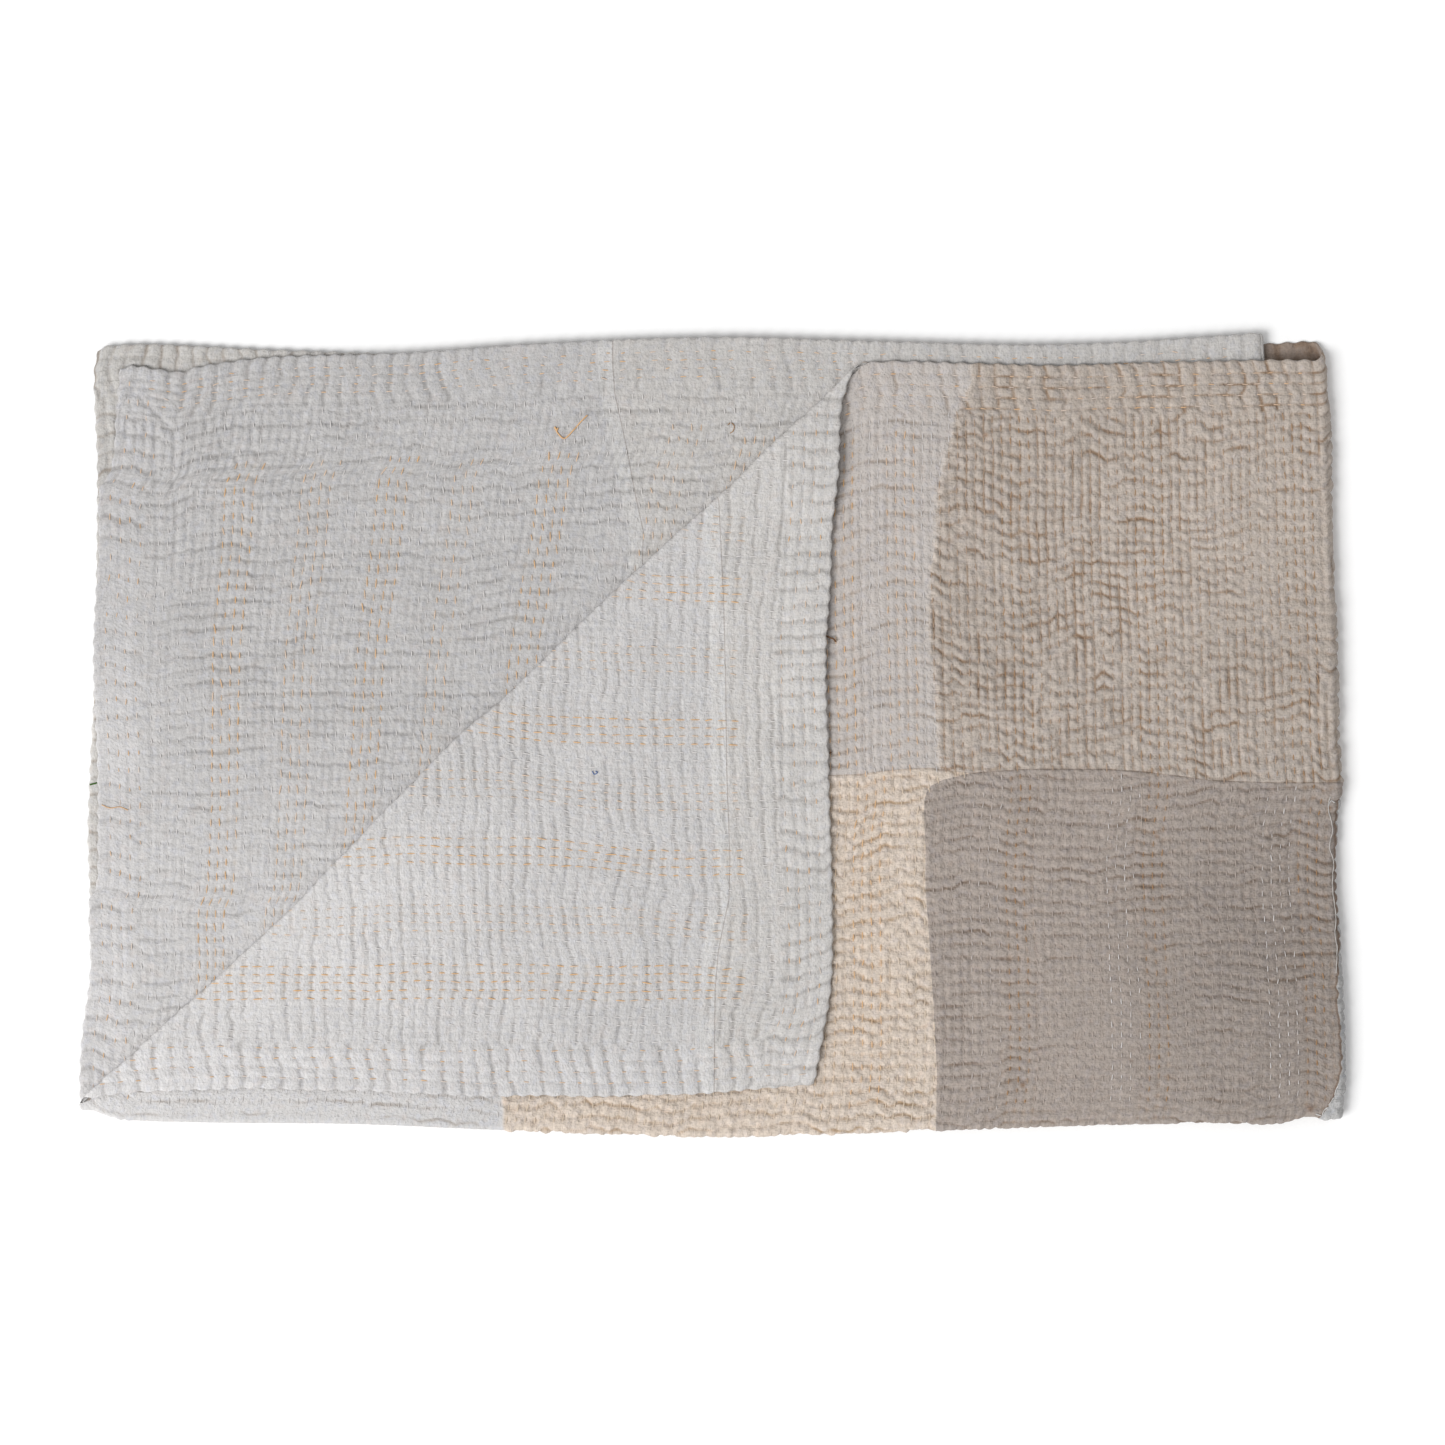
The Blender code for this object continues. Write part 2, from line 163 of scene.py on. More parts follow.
class Edge:
    """A smooth curve through points, read by its share of the length from its first point."""

    STEPS = 24

    def __init__(self, points):
        self.points = np.array(points, float)
        reach = np.concatenate([[0.0], np.cumsum(np.linalg.norm(np.diff(self.points, axis=0), axis=1))])
        before = np.maximum(np.arange(len(reach)) - 1, 0)
        after = np.minimum(np.arange(len(reach)) + 1, len(reach) - 1)
        slope = (self.points[after] - self.points[before]) / (reach[after] - reach[before])[:, None]
        part = np.linspace(0, 1, self.STEPS, endpoint=False)[:, None]
        blend = smoothstep(part)
        places, shares = [], []
        for k in range(len(reach) - 1):
            span = reach[k + 1] - reach[k]
            place = self.points[k] * (1 - blend) + self.points[k + 1] * blend
            place = place + slope[k] * span * part * (1 - part) ** 2
            place = place - slope[k + 1] * span * part**2 * (1 - part)
            places.append(place)
            shares.append(reach[k] + span * part[:, 0])
        self.places = np.concatenate([*places, self.points[-1:]])
        self.shares = np.concatenate([*shares, reach[-1:]]) / reach[-1]

    def at(self, share):
        x = np.interp(share, self.shares, self.places[:, 0])
        y = np.interp(share, self.shares, self.places[:, 1])
        return np.stack([x, y], axis=-1)


class Layer:
    """The plan of one layer, as a patch between its four edges."""

    def __init__(self, side_hem, fold, top_hem, bottom_fold):
        self.left = Edge(side_hem)
        self.right = Edge(fold)
        self.top = Edge(top_hem)
        self.bottom = Edge(bottom_fold)

    def at(self, across, down):
        u, v = across[..., None], down[..., None]
        sides = self.left.at(down) * (1 - u) + self.right.at(down) * u
        ends = self.top.at(across) * (1 - v) + self.bottom.at(across) * v
        top = self.top.points[0] * (1 - u) + self.top.points[-1] * u
        bottom = self.bottom.points[0] * (1 - u) + self.bottom.points[-1] * u
        return sides + ends - top * (1 - v) - bottom * v


class Crease:
    """The diagonal about which the top layer's corner turns back. Out is towards the corner."""

    def __init__(self):
        self.start = np.array(CREASE_FROM) * MM
        line = (np.array(CREASE_TO) - np.array(CREASE_FROM)) * MM
        self.along = line / np.linalg.norm(line)
        self.out = np.array([-self.along[1], self.along[0]])
        rows = np.array(CREASE_BOW) * MM
        part = np.linspace(0, 1, 16, endpoint=False)
        self.bow_along = np.concatenate([a + (b - a) * part for a, b in zip(rows[:-1, 0], rows[1:, 0])])
        self.bow_out = np.concatenate(
            [a + (b - a) * smoothstep(part) for a, b in zip(rows[:-1, 1], rows[1:, 1])]
        )

    def bow(self, along):
        return np.interp(along, self.bow_along, self.bow_out)

    def measure(self, plan):
        offset = plan - self.start
        along = offset @ self.along
        return along, offset @ self.out - self.bow(along)

    def place(self, along, out):
        reach = out + self.bow(along)
        return self.start + along[..., None] * self.along + reach[..., None] * self.out

    def unturned(self, plan):
        along, out = self.measure(plan)
        return self.place(along, HALF_TURN - out)

    def turned(self, plan):
        """The plan with the corner turned back, the rise over the layer, and the turn at each point."""
        along, out = self.measure(plan)
        turn = np.clip(out / CREASE_BEND_RADIUS, 0.0, math.pi)
        past = np.maximum(out - HALF_TURN, 0.0)
        reach = np.minimum(out, CREASE_BEND_RADIUS * np.sin(turn)) - past
        return self.place(along, reach), CREASE_BEND_RADIUS * (1 - np.cos(turn)), turn


def as_point(row, shift=(0.0, 0.0)):
    return (np.array(row) + np.array(shift)) * MM


def as_points(rows, shift=(0.0, 0.0)):
    return [as_point(row, shift) for row in rows]


def between_corners(hem_corner, side_hem, top_hem, fold_end, fold, bottom):
    """A layer's plan from its corners and what lies between them."""
    side = [hem_corner, *side_hem, bottom[0]]
    return Layer(side, [fold_end, *fold], [hem_corner, *top_hem, fold_end], [*bottom, fold[-1]])


def make_layers(crease):
    """The plans of the four layers, which share the lines where their folds start to bend."""
    skin = THICKNESS / 2 / MM
    outer_bend = (-(OUTER_BEND_RADIUS / MM + skin), 0.0)
    inner_bend = (-(INNER_BEND_RADIUS / MM + skin), 0.0)
    up = HEM_BEND_RADIUS / MM + skin
    corner = as_point(FOLDS_CORNER, (outer_bend[0], up))
    inner_corner = as_point(FOLDS_CORNER, (outer_bend[0] - STAGGER, up))
    outer_fold = [*as_points(OUTER_RIGHT_FOLD, outer_bend), corner]
    inner_fold = [*as_points(INNER_RIGHT_FOLD, inner_bend), inner_corner]
    shown = as_points((BOTTOM_FOLD_LEFT, *BOTTOM_FOLD), (0.0, up))
    hidden = [as_point(HIDDEN_FOLD_LEFT, (0.0, up)), *as_points(BOTTOM_FOLD, (0.0, up + STAGGER))]
    flap_bottom = list(crease.unturned(np.array(as_points(FLAP_BOTTOM_EDGE))))
    flap_side = list(crease.unturned(np.array(as_points(FLAP_SIDE_EDGE))))
    top_corner = flap_bottom.pop()
    top_hem = [*flap_side, *as_points(TOP_LAYER_TOP_HEM)]
    top_end = as_point(TOP_FOLD_END, outer_bend)
    made = {"top": between_corners(top_corner, flap_bottom[::-1], top_hem, top_end, outer_fold, shown)}
    for name, hem_corner, side_hem, top_hem, end, bend, fold, bottom in (
        (
            "upper", UPPER_HEM_CORNER, UPPER_SIDE_HEM, UPPER_TOP_HEM, UPPER_FOLD_END,
            inner_bend, inner_fold, shown,
        ),
        (
            "lower", LOWER_HEM_CORNER, LOWER_SIDE_HEM, LOWER_TOP_HEM, LOWER_FOLD_END,
            inner_bend, inner_fold, hidden,
        ),
        (
            "base", BASE_HEM_CORNER, BASE_SIDE_HEM, BASE_TOP_HEM, BASE_FOLD_END,
            outer_bend, outer_fold, hidden,
        ),
    ):
        hems = as_point(hem_corner), as_points(side_hem), as_points(top_hem)
        made[name] = between_corners(*hems, as_point(end, bend), fold, bottom)
    return made


crease = Crease()
layers = make_layers(crease)


def share_and_turn(place, turn_width):
    """A cloth coordinate as its share of a layer and how far round the fold it lies."""
    turn = np.clip((place - 1) / turn_width, 0.0, 1.0)
    share = np.where(place > 1, np.clip(2 + turn_width - place, 0.0, 1.0), place)
    return share, turn


def bulges(plan, rows):
    """The sum of soft round bulges at each place."""
    total = np.zeros(plan.shape[:-1])
    for x, y, radius, height in rows:
        distance = np.hypot(plan[..., 0] / MM - x, plan[..., 1] / MM - y)
        total += height * smoothstep(1 - distance / radius)
    return total


def folded(across, down, nudge=None):
    """The cloth's middle surface, and where its front faces, at the cloth's own coordinates.

    Each coordinate is 0 at a hem, 1 where the fold starts and 2 and a turn at the far hem. nudge moves
    the unturned plan, for scalloped hems.
    """
    u, right_turn = share_and_turn(across, RIGHT_TURN)
    v, bottom_turn = share_and_turn(down, BOTTOM_TURN)
    outer = ((1 + np.cos(math.pi * bottom_turn)) / 2)[..., None]
    over = ((1 + np.cos(math.pi * right_turn)) / 2)[..., None]
    on_top = layers["top"].at(u, v) * outer + layers["upper"].at(u, v) * (1 - outer)
    below = layers["base"].at(u, v) * outer + layers["lower"].at(u, v) * (1 - outer)
    plan = on_top * over + below * (1 - over)
    if nudge is not None:
        plan = plan + nudge
    radius = INNER_BEND_RADIUS + LAYER_PITCH * outer[..., 0]
    x = plan[..., 0] + radius * np.sin(math.pi * right_turn)
    y = plan[..., 1] - HEM_BEND_RADIUS * np.sin(math.pi * bottom_turn)
    z = MIDDLE_Z + radius * np.cos(math.pi * right_turn)
    facing_out = np.cos(math.pi * bottom_turn)
    facing = np.stack(
        [
            facing_out * np.sin(math.pi * right_turn),
            -np.sin(math.pi * bottom_turn),
            facing_out * np.cos(math.pi * right_turn),
        ],
        axis=-1,
    )
    flat, rise, turn = crease.turned(plan)
    turns = (turn > 0) & (across <= 1) & (down <= 1)
    lift = rise / (2 * CREASE_BEND_RADIUS) * bulges(flat, LIFTS) * MM
    x = np.where(turns, flat[..., 0], x)
    y = np.where(turns, flat[..., 1], y)
    z = np.where(turns, z + rise + lift, z)
    out = np.array([crease.out[0], crease.out[1], 0.0])
    up = np.array([0.0, 0.0, 1.0])
    turned_facing = np.cos(turn)[..., None] * up - np.sin(turn)[..., None] * out
    facing = np.where(turns[..., None], turned_facing, facing)
    here = np.stack([x, y], axis=-1)
    z = BASE_Z + (z - BASE_Z) * (1 + bulges(here, PUFFS))
    return np.stack([x, y, z], axis=-1), facing


# Quilting: rows of running stitch run down the cloth, with borders along the hems. Lengths in metres.
STITCH_LENGTH = 8.0 * MM
STITCH_RADIUS = 0.46 * MM
BORDER_STITCH = 5.8 * MM
BORDER_WIDTH = 46 * MM
BORDER_FADE = 5 * MM
HEM_ROUND = 3.2 * MM
HEM_STATIONS = (0.0, 0.3 * MM, 0.8 * MM, 1.5 * MM, 2.4 * MM)
SCALLOP = 0.8 * MM
HALO_ACROSS, HALO_ALONG = 1.8, 2.8
ROW_STRAY = 0.9 * MM
STEP_ACROSS = 1.9 * MM
STEP_DOWN = 1.55 * MM
UPPER_STEPS = (2.0 * MM, 1.62 * MM)


class Style(NamedTuple):
    """How a kind of cloth puckers. Pitches, depths and widths are in millimetres."""

    pitch: float
    depth: float
    width: float
    rows: float
    first_row: float
    row_depth: float
    row_width: float
    roundness: float
    lumps: float
    breaks: float
    waviness: float


STYLES = {
    "upper": Style(12.8, 1.55, 1.4, 8.7, 4.2, 1.35, 1.4, 0.50, 0.26, 0.32, 0.9),
    "flap": Style(12.4, 1.20, 1.4, 7.9, 4.2, 0.85, 1.4, 0.55, 0.24, 0.28, 0.8),
    "border": Style(17.0, 1.60, 1.6, 10.2, 2.0, 1.40, 1.5, 0.70, 0.26, 0.20, 0.9),
    "bold": Style(15.0, 2.80, 1.7, 10.2, 2.0, 2.70, 1.6, 0.60, 0.80, 0.15, 1.2),
    "tight": Style(17.0, 1.60, 1.6, 7.7, 4.5, 1.20, 1.4, 0.70, 0.26, 0.20, 0.9),
    "grey": Style(12.4, 2.20, 1.7, 8.7, 4.2, 1.70, 1.5, 0.50, 0.36, 0.32, 1.0),
    "beige": Style(11.9, 3.40, 1.8, 8.7, 4.2, 2.60, 1.6, 0.60, 1.20, 0.30, 1.8),
    "cream": Style(12.2, 3.80, 1.6, 8.7, 4.2, 1.40, 1.4, 0.45, 1.10, 0.26, 1.7),
    "taupe": Style(10.8, 2.90, 1.5, 8.9, 4.2, 1.30, 1.4, 0.50, 0.50, 0.20, 1.2),
    "worn": Style(12.4, 0.55, 1.5, 8.7, 4.2, 0.40, 1.4, 0.60, 0.16, 0.36, 1.0),
    "lower": Style(12.4, 1.50, 1.5, 8.7, 4.2, 1.00, 1.4, 0.60, 0.30, 0.30, 1.0),
}
HEM_ROLL = 9 * MM
HILL = 0.42
SIDE_BORDER_SEED, END_BORDER_SEED = 20, 40
FRONT_SEED, FLAP_SEED, UPPER_SEED, LOWER_SEED, BASE_SEED = 1, 300, 400, 500, 600
# How rows fan out from the side hem, by seed: at this distance, the shift at the top and how it narrows.
FANS = {UPPER_SEED: (0.419, 0.066, 0.185)}
GREY_SEED, BEIGE_SEED, WORN_SEED, CREAM_SEED, TAUPE_SEED = 100, 130, 160, 190, 220
# Faces and patches whose border along the top hem has its own style, by seed.
END_BORDERS = {UPPER_SEED: "tight", BEIGE_SEED: "bold"}
# Troughs stay this much over the cloth's middle, in millimetres.
DEEPEST = 1.05

HASH_X, HASH_Y, HASH_SEED, HASH_MIX = 374761393, 668265263, 362437, 1274126177
HASH_MASK = 0xFFFFFFFF
HASH_RANGE, HASH_HALF = 0xFFFFFF, 0x7FFFFF

# How an uneven hand strays: share of a pitch, how far it holds across and along, and a seed.
STRAYS = ((0.50, 0.060, 0.120, 0), (0.15, 0.020, 0.050, 1), (0.18, 0.0085, 0.030, 7))
# Cells of the noise that breaks up the troughs, the rows and the cloth between them, across and along.
TROUGH_CELL = (0.021, 0.009)
ROW_CELL = (0.011, 0.022)
COARSE_CELL = (0.007, 0.006)
FINE_CELL = (0.0036, 0.0034)
TROUGH_REACH = 0.050


def scatter(x, y, seed):
    """A number from -1 to 1 that only depends on whole numbers."""
    n = (x.astype(np.int64) * HASH_X + y.astype(np.int64) * HASH_Y + seed * HASH_SEED) & HASH_MASK
    n = ((n ^ (n >> 13)) * HASH_MIX) & HASH_MASK
    n = n ^ (n >> 16)
    return (n & HASH_RANGE) / HASH_HALF - 1.0


def noise(x, y, seed):
    """Smooth noise from -1 to 1, with a cell of 1 by 1."""
    x, y = np.broadcast_arrays(np.asarray(x, float), np.asarray(y, float))
    left, low = np.floor(x), np.floor(y)
    across, up = smoothstep(x - left), smoothstep(y - low)
    bottom = scatter(left, low, seed) * (1 - across) + scatter(left + 1, low, seed) * across
    top = scatter(left, low + 1, seed) * (1 - across) + scatter(left + 1, low + 1, seed) * across
    return bottom * (1 - up) + top * up


def patchy(across, along, cell, seed):
    """Noise over the cloth, with a cell of so many metres across and along the rows."""
    return noise(across / cell[0], along / cell[1], seed)


def beat(across, along, seed, style):
    """How many stitches along the cloth a place lies, with the strays of an uneven hand."""
    stray = sum(share * patchy(across, along, cell, seed + more) for share, *cell, more in STRAYS)
    return along / (STYLES[style].pitch * MM) + STYLES[style].waviness * stray


def straightened(across, along, seed):
    """Distance across the rows, with their fan and their strays taken out."""
    reach, at_top, narrowing = FANS.get(seed, (1.0, 0.0, 0.0))
    fan = across / reach * (at_top - narrowing * along)
    return across - fan + ROW_STRAY * noise(across / 0.05, along / 0.03, seed + 3)


def row_number(across, along, seed, style):
    return (straightened(across, along, seed) / MM - STYLES[style].first_row) / STYLES[style].rows


def away(count, pitch):
    """Distance from the nearest whole number, in the pitch's unit."""
    return (count - np.round(count)) * pitch


def valley(count, pitch, width, roundness):
    """1 on each whole number, falling off as a narrow trough or, where it is rounder, as between pillows."""
    narrow = np.exp(-((away(count, pitch) / width) ** 2))
    between = 1 - np.abs(np.sin(math.pi * count)) ** 0.8
    return narrow + (between - narrow) * roundness


def pucker(across, along, seed, style):
    """Height of the stitched cloth in metres, how far a place lies in a trough, and how near to a stitch."""
    cloth = STYLES[style]
    count = beat(across, along, seed, style)
    breaks = cloth.breaks
    strength = 1 - breaks + 1.2 * breaks * patchy(across, along, TROUGH_CELL, seed + 2)
    strength = strength * (1 + 0.45 * noise(np.round(count) * 7.3, across / TROUGH_REACH, seed + 8))
    trough = np.clip(strength, 0.08, 1.4) * valley(count, cloth.pitch, cloth.width, cloth.roundness)
    row = row_number(across, along, seed, style)
    pull = np.clip(0.65 + 0.5 * patchy(across, along, ROW_CELL, seed + 4), 0.1, 1.2)
    pull = pull * smoothstep((across - HEM_ROLL / 2) / (HEM_ROLL / 2))
    line = pull * valley(row, cloth.rows, cloth.row_width, cloth.roundness)
    rough = patchy(across, along, COARSE_CELL, seed + 5) + 0.6 * patchy(across, along, FINE_CELL, seed + 6)
    height = HILL * (cloth.depth + 0.5 * cloth.row_depth) + cloth.lumps * rough
    height = height - cloth.depth * trough - cloth.row_depth * line
    off_row, off_stitch = away(row, cloth.rows), away(count, cloth.pitch)
    stitch = np.exp(-((off_row / HALO_ACROSS) ** 2) - (off_stitch / HALO_ALONG) ** 2)
    shade = np.clip(np.maximum(trough, 0.4 * cloth.row_depth * line), 0, 1)
    return np.stack([height * MM, shade, stitch])


def kept_up(height):
    """Heights with the deepest troughs made shallower, so that they stay above the cloth's middle."""
    floor = DEEPEST * MM
    return np.where(height < 0, floor * np.tanh(height / floor), height)


def quilting(from_side, from_top, seed, style):
    """Relief of one side of a layer: rows down its middle, and border rows along its hems."""
    middle = pucker(from_side, from_top, seed, style)
    side = pucker(from_side, from_top, seed + SIDE_BORDER_SEED, "border")
    end = pucker(from_top, from_side, seed + END_BORDER_SEED, END_BORDERS.get(seed, "border"))
    near_side = 1 - smoothstep((from_side - BORDER_WIDTH) / BORDER_FADE)
    near_end = 1 - smoothstep((from_top - BORDER_WIDTH) / BORDER_FADE)
    relief = middle + (side - middle) * near_side
    return relief + (end - relief) * near_end


# The seams as x and y in millimetres, from the top down or from left to right.
GREY_BEIGE_SEAM = (
    (244, 350), (244, 332), (231, 301), (221, 265), (212, 232), (212, 199), (206, 150), (204, 107),
    (209, 50), (214, -31),
)
MIDDLE_SEAM = (
    (111, -40), (140, -39), (160, -36), (182, -34), (205, -33), (225, -36), (243, -38), (255, -37),
    (297, -34), (370, -34), (412, -37), (473, -45), (533, -47), (600, -47),
)
CREAM_TAUPE_SEAM = (
    (199, -55), (201, -111), (201, -146), (205, -202), (209, -262), (212, -323), (211, -374),
)
TAUPE_CORNER = (
    (197, -90), (199, -68), (201, -58), (206, -50), (218, -44), (243, -38), (255, -34), (297, -28),
    (600, -28),
)
UPPER_SEAM = ((-95, 375), (-95, 350), (-93, 321), (-83, 276), (-73, 223), (-66, 191), (-67, 163), (-60, 100))
FLAP_SEAM = (
    (-2, 260), (5, 229), (10, 126), (12, 45), (13, -37), (16, -119), (15, -158), (12, -171), (5, -206),
    (2, -242), (1, -345),
)
RIM_SEAM = (
    (640, -52), (600, -60), (591, -64), (589, -83), (588, -103), (589, -109), (588, -124), (589, -137),
    (588, -144), (589, -161), (590, -178), (590, -187), (592, -195), (592, -208), (590, -213),
    (591, -227), (589, -240), (591, -246), (589.5, -256), (592, -271), (593, -277), (592, -286),
    (594, -292), (593, -299), (595, -306), (593, -311), (594, -317), (591, -331), (587, -345),
    (580, -356), (572, -366), (565, -375), (558, -385),
)
WORN_SEAM_X = -198
FADED_STRIP = 14


def right_of(x, y, seam):
    """How far a place lies right of a seam that runs down, in millimetres."""
    rows = np.array(seam, float)[::-1]
    return x / MM - np.interp(y / MM, rows[:, 1], rows[:, 0])


def below(x, y, seam):
    """How far a place lies below a seam that runs across, in millimetres."""
    rows = np.array(seam, float)
    return np.interp(x / MM, rows[:, 0], rows[:, 1]) - y / MM


def stepped(distance, width, gap, lap):
    """Height along a seam: a narrow gap with the lapped edge standing a little over it."""
    edge = np.exp(-((distance / width) ** 2))
    lapped = smoothstep((distance + 1.0) / 2.0) * np.exp(-np.maximum(distance, 0) / 9.0)
    return (lap * lapped - gap * edge) * MM


def mixed(low, high, share):
    return low + (high - low) * share


def crisp(distance, fade=1.2):
    """0 on one side of a seam and 1 on the other."""
    return smoothstep(distance / fade + 0.5)


# Half the width of a group of four dyed rows, in millimetres.
HALF_GROUP = 17.0

# The threads' colours, as tones from 0 to 255.
ORANGE = (221, 178, 130)
PALE = (206, 202, 200)
BROWN = (164, 128, 92)
WHITE_THREAD = (214, 210, 208)


def group_strength(a, b, seed, groups):
    """How strongly each main row is dyed. Groups are of four rows: a_mm, strength, start_mm, end_mm."""
    a = straightened(a, b, seed)
    strength = np.zeros(a.shape)
    for middle, full, first, last in groups:
        inside = (np.abs(a / MM - middle) < HALF_GROUP) & (b / MM > first) & (b / MM < last)
        strength = np.where(inside, full, strength)
    return strength


UPPER_GROUPS = (
    (131, 1.0, 98, 720), (201, 0.65, 100, 720), (270, 1.0, 96, 720), (335, 0.65, 104, 720),
    (419, 1.0, 98, 720), (523, 0.6, 80, 720), (588, 0.7, 80, 720),
)
FLAP_GROUPS = (
    (108, 1.0, 78, 720), (167, 0.55, 78, 720), (230, 1.0, 80, 720), (295, 0.55, 80, 720),
    (358, 1.0, 78, 720), (428, 0.55, 80, 720), (497, 0.9, 76, 720), (562, 0.5, 78, 720),
)

# Each patch of the front: its seed, the colour of most threads, and its groups of four dyed rows:
# a_mm, colour, strength, start_mm, end_mm.
FRONT_PATCHES = {
    "grey": (GREY_SEED, PALE, ((717, ORANGE, 1.0, 60, 400), (778, ORANGE, 0.7, 60, 400))),
    "beige": (
        BEIGE_SEED,
        (176, 152, 132),
        ((886, BROWN, 0.7, 50, 400), (1019, BROWN, 0.7, 50, 400), (1166, BROWN, 0.7, 50, 400)),
    ),
    "worn": (WORN_SEED, PALE, ()),
    "cream": (CREAM_SEED, (212, 196, 176), ((743, ORANGE, 0.8, 380, 700), (700, ORANGE, 0.3, 380, 700))),
    "taupe": (
        TAUPE_SEED,
        (176, 164, 156),
        (
            (853, WHITE_THREAD, 0.4, 390, 720),
            (886, BROWN, 1.0, 390, 720),
            (984, WHITE_THREAD, 0.9, 390, 720),
            (1019, BROWN, 0.9, 390, 720),
            (1138, WHITE_THREAD, 0.9, 390, 720),
            (1172, BROWN, 1.0, 390, 720),
        ),
    ),
}


def halo(name, a, b):
    """How strongly the cloth of a front patch is tinted around its dyed stitches."""
    seed, _, rows = FRONT_PATCHES[name]
    groups = [(middle, full, *ends) for middle, dye, full, *ends in rows if dye != WHITE_THREAD]
    return 0.10 + 0.7 * group_strength(a, b, seed, groups)


def patch_relief(name, a, b):
    """Height, trough and stitch tint of one patch's quilting, as if it covered the whole front."""
    relief = quilting(a, b, FRONT_PATCHES[name][0], name)
    relief[2] *= halo(name, a, b)
    return relief


def past_taupe_seam(x, y):
    return np.minimum(right_of(x, y, CREAM_TAUPE_SEAM), below(x, y, TAUPE_CORNER))


def patches(a, b, x, y):
    """The relief of the patched front, its troughs, and how far each place lies past each seam."""
    ragged = 1.5 * noise(y / 0.007, y / 0.05, 92) + 0.9 * noise(y / 0.0028, y / 0.05, 93)
    to_beige = right_of(x, y, GREY_BEIGE_SEAM) + ragged
    to_rim = right_of(x, y, RIM_SEAM)
    to_low = below(x, y, MIDDLE_SEAM)
    to_taupe = past_taupe_seam(x, y)
    to_cream = x / MM - WORN_SEAM_X + 3 * noise(y / 0.02, y / 0.05, 91)
    upper = mixed(patch_relief("grey", a, b), patch_relief("beige", a, b), crisp(to_beige))
    lower = mixed(patch_relief("worn", a, b), patch_relief("cream", a, b), crisp(to_cream))
    lower = mixed(lower, patch_relief("taupe", a, b), crisp(to_taupe))
    height, trough, tint = mixed(upper, lower, crisp(to_low))
    above, under = 1 - crisp(to_low), crisp(to_low)
    height = height + stepped(to_low, 1.1, 0.8, 0.4)
    height = height + above * stepped(to_beige, 1.3, 0.5, 0.9)
    height = height + under * stepped(to_taupe, 1.2, 0.6, 0.5)
    height = height - stepped(-to_rim, 1.0, 0.2, 0.9) + creased(x, y, FRONT_CREASES)
    values = {"to_beige": to_beige, "to_low": to_low, "to_taupe": to_taupe, "to_cream": to_cream}
    spots = bulges(np.stack([x, y], axis=-1), SPOTS)
    return height, trough, {**values, "to_rim": to_rim, "tint": tint, "spot": spots}


def plain(seed, style, seam=None, creases=(), groups=()):
    """The relief of a plain side, with a seam, creases and dyed rows where it has them."""

    def relief(a, b, x, y):
        height, trough, tint = quilting(a, b, seed, style)
        height = height + creased(x, y, creases)
        values = {"tint": tint * group_strength(a, b, seed, groups)}
        if seam is None:
            return height, trough, values
        past = right_of(x, y, seam)
        return height + stepped(past, 0.9, 0.40, 0.15), trough, {**values, "past_seam": past}

    return relief


# Creases of each face as x and y in millimetres, with a depth and a width. A negative depth is a ridge.
UPPER_CREASES = (
    (1.1, 1.9, ((-542, 318), (-533, 308), (-525, 302), (-520, 295), (-512, 290))),
    (0.9, 2.0, ((-551, 323), (-560, 308), (-562, 290))),
    (1.0, 1.8, ((-511, 285), (-510, 262), (-511, 236), (-508, 200), (-511, 150))),
    (0.9, 1.8, ((-527, 278), (-528, 210), (-525, 160), (-528, 100), (-531, 20), (-529, -40))),
    (1.0, 2.0, ((-511, 237), (-486, 235), (-455, 235), (-428, 244), (-400, 247), (-369, 252))),
    (0.8, 1.8, ((-481, 219), (-450, 221), (-418, 226))),
    (0.8, 1.8, ((-490, 268), (-462, 262), (-431, 266), (-404, 270))),
    (0.8, 1.7, ((-470, 290), (-465, 272), (-452, 262), (-448, 240))),
    (0.7, 1.7, ((-438, 300), (-436, 276), (-430, 258))),
    (0.7, 2.0, ((-431, 295), (-385, 298), (-335, 300), (-270, 302), (-202, 304))),
    (0.7, 2.0, ((-428, 312), (-340, 313), (-260, 316), (-202, 318), (-120, 324))),
    (-0.9, 3.5, ((-535, 300), (-548, 290), (-550, 275))),
)
FLAP_CREASES = (
    (-0.8, 3.0, ((-560, -335), (-500, -322), (-430, -330))),
    (0.8, 2.0, ((-540, -318), (-480, -310), (-420, -313), (-360, -318))),
    (0.7, 2.0, ((66, 300), (70, 200), (68, 60), (66, -100))),
)
FRONT_CREASES = (
    (1.8, 1.8, ((273, 332), (320, 331), (380, 333), (430, 333))),
    (1.0, 1.8, ((430, 326), (500, 325), (580, 326))),
    (1.0, 1.8, ((262, 291), (300, 289), (330, 291))),
    (1.2, 1.8, ((216, 180), (219, 168), (221, 155), (220, 142))),
    (0.8, 1.8, ((468, 268), (482, 262), (498, 258), (520, 262))),
    (1.0, 1.6, ((244, -215), (243, -240), (242, -270), (245, -300))),
    (0.9, 1.6, ((214, -250), (228, -249), (240, -252))),
    (0.9, 1.6, ((254, -242), (280, -241), (310, -240))),
    (1.0, 1.6, ((364, -121), (385, -123), (410, -122), (428, -125))),
    (0.9, 1.8, ((428, -112), (460, -116), (500, -122), (560, -124))),
    (0.9, 1.8, ((455, -208), (490, -216), (540, -222), (585, -224))),
    (0.8, 1.6, ((300, -190), (340, -192), (375, -193), (380, -198))),
)
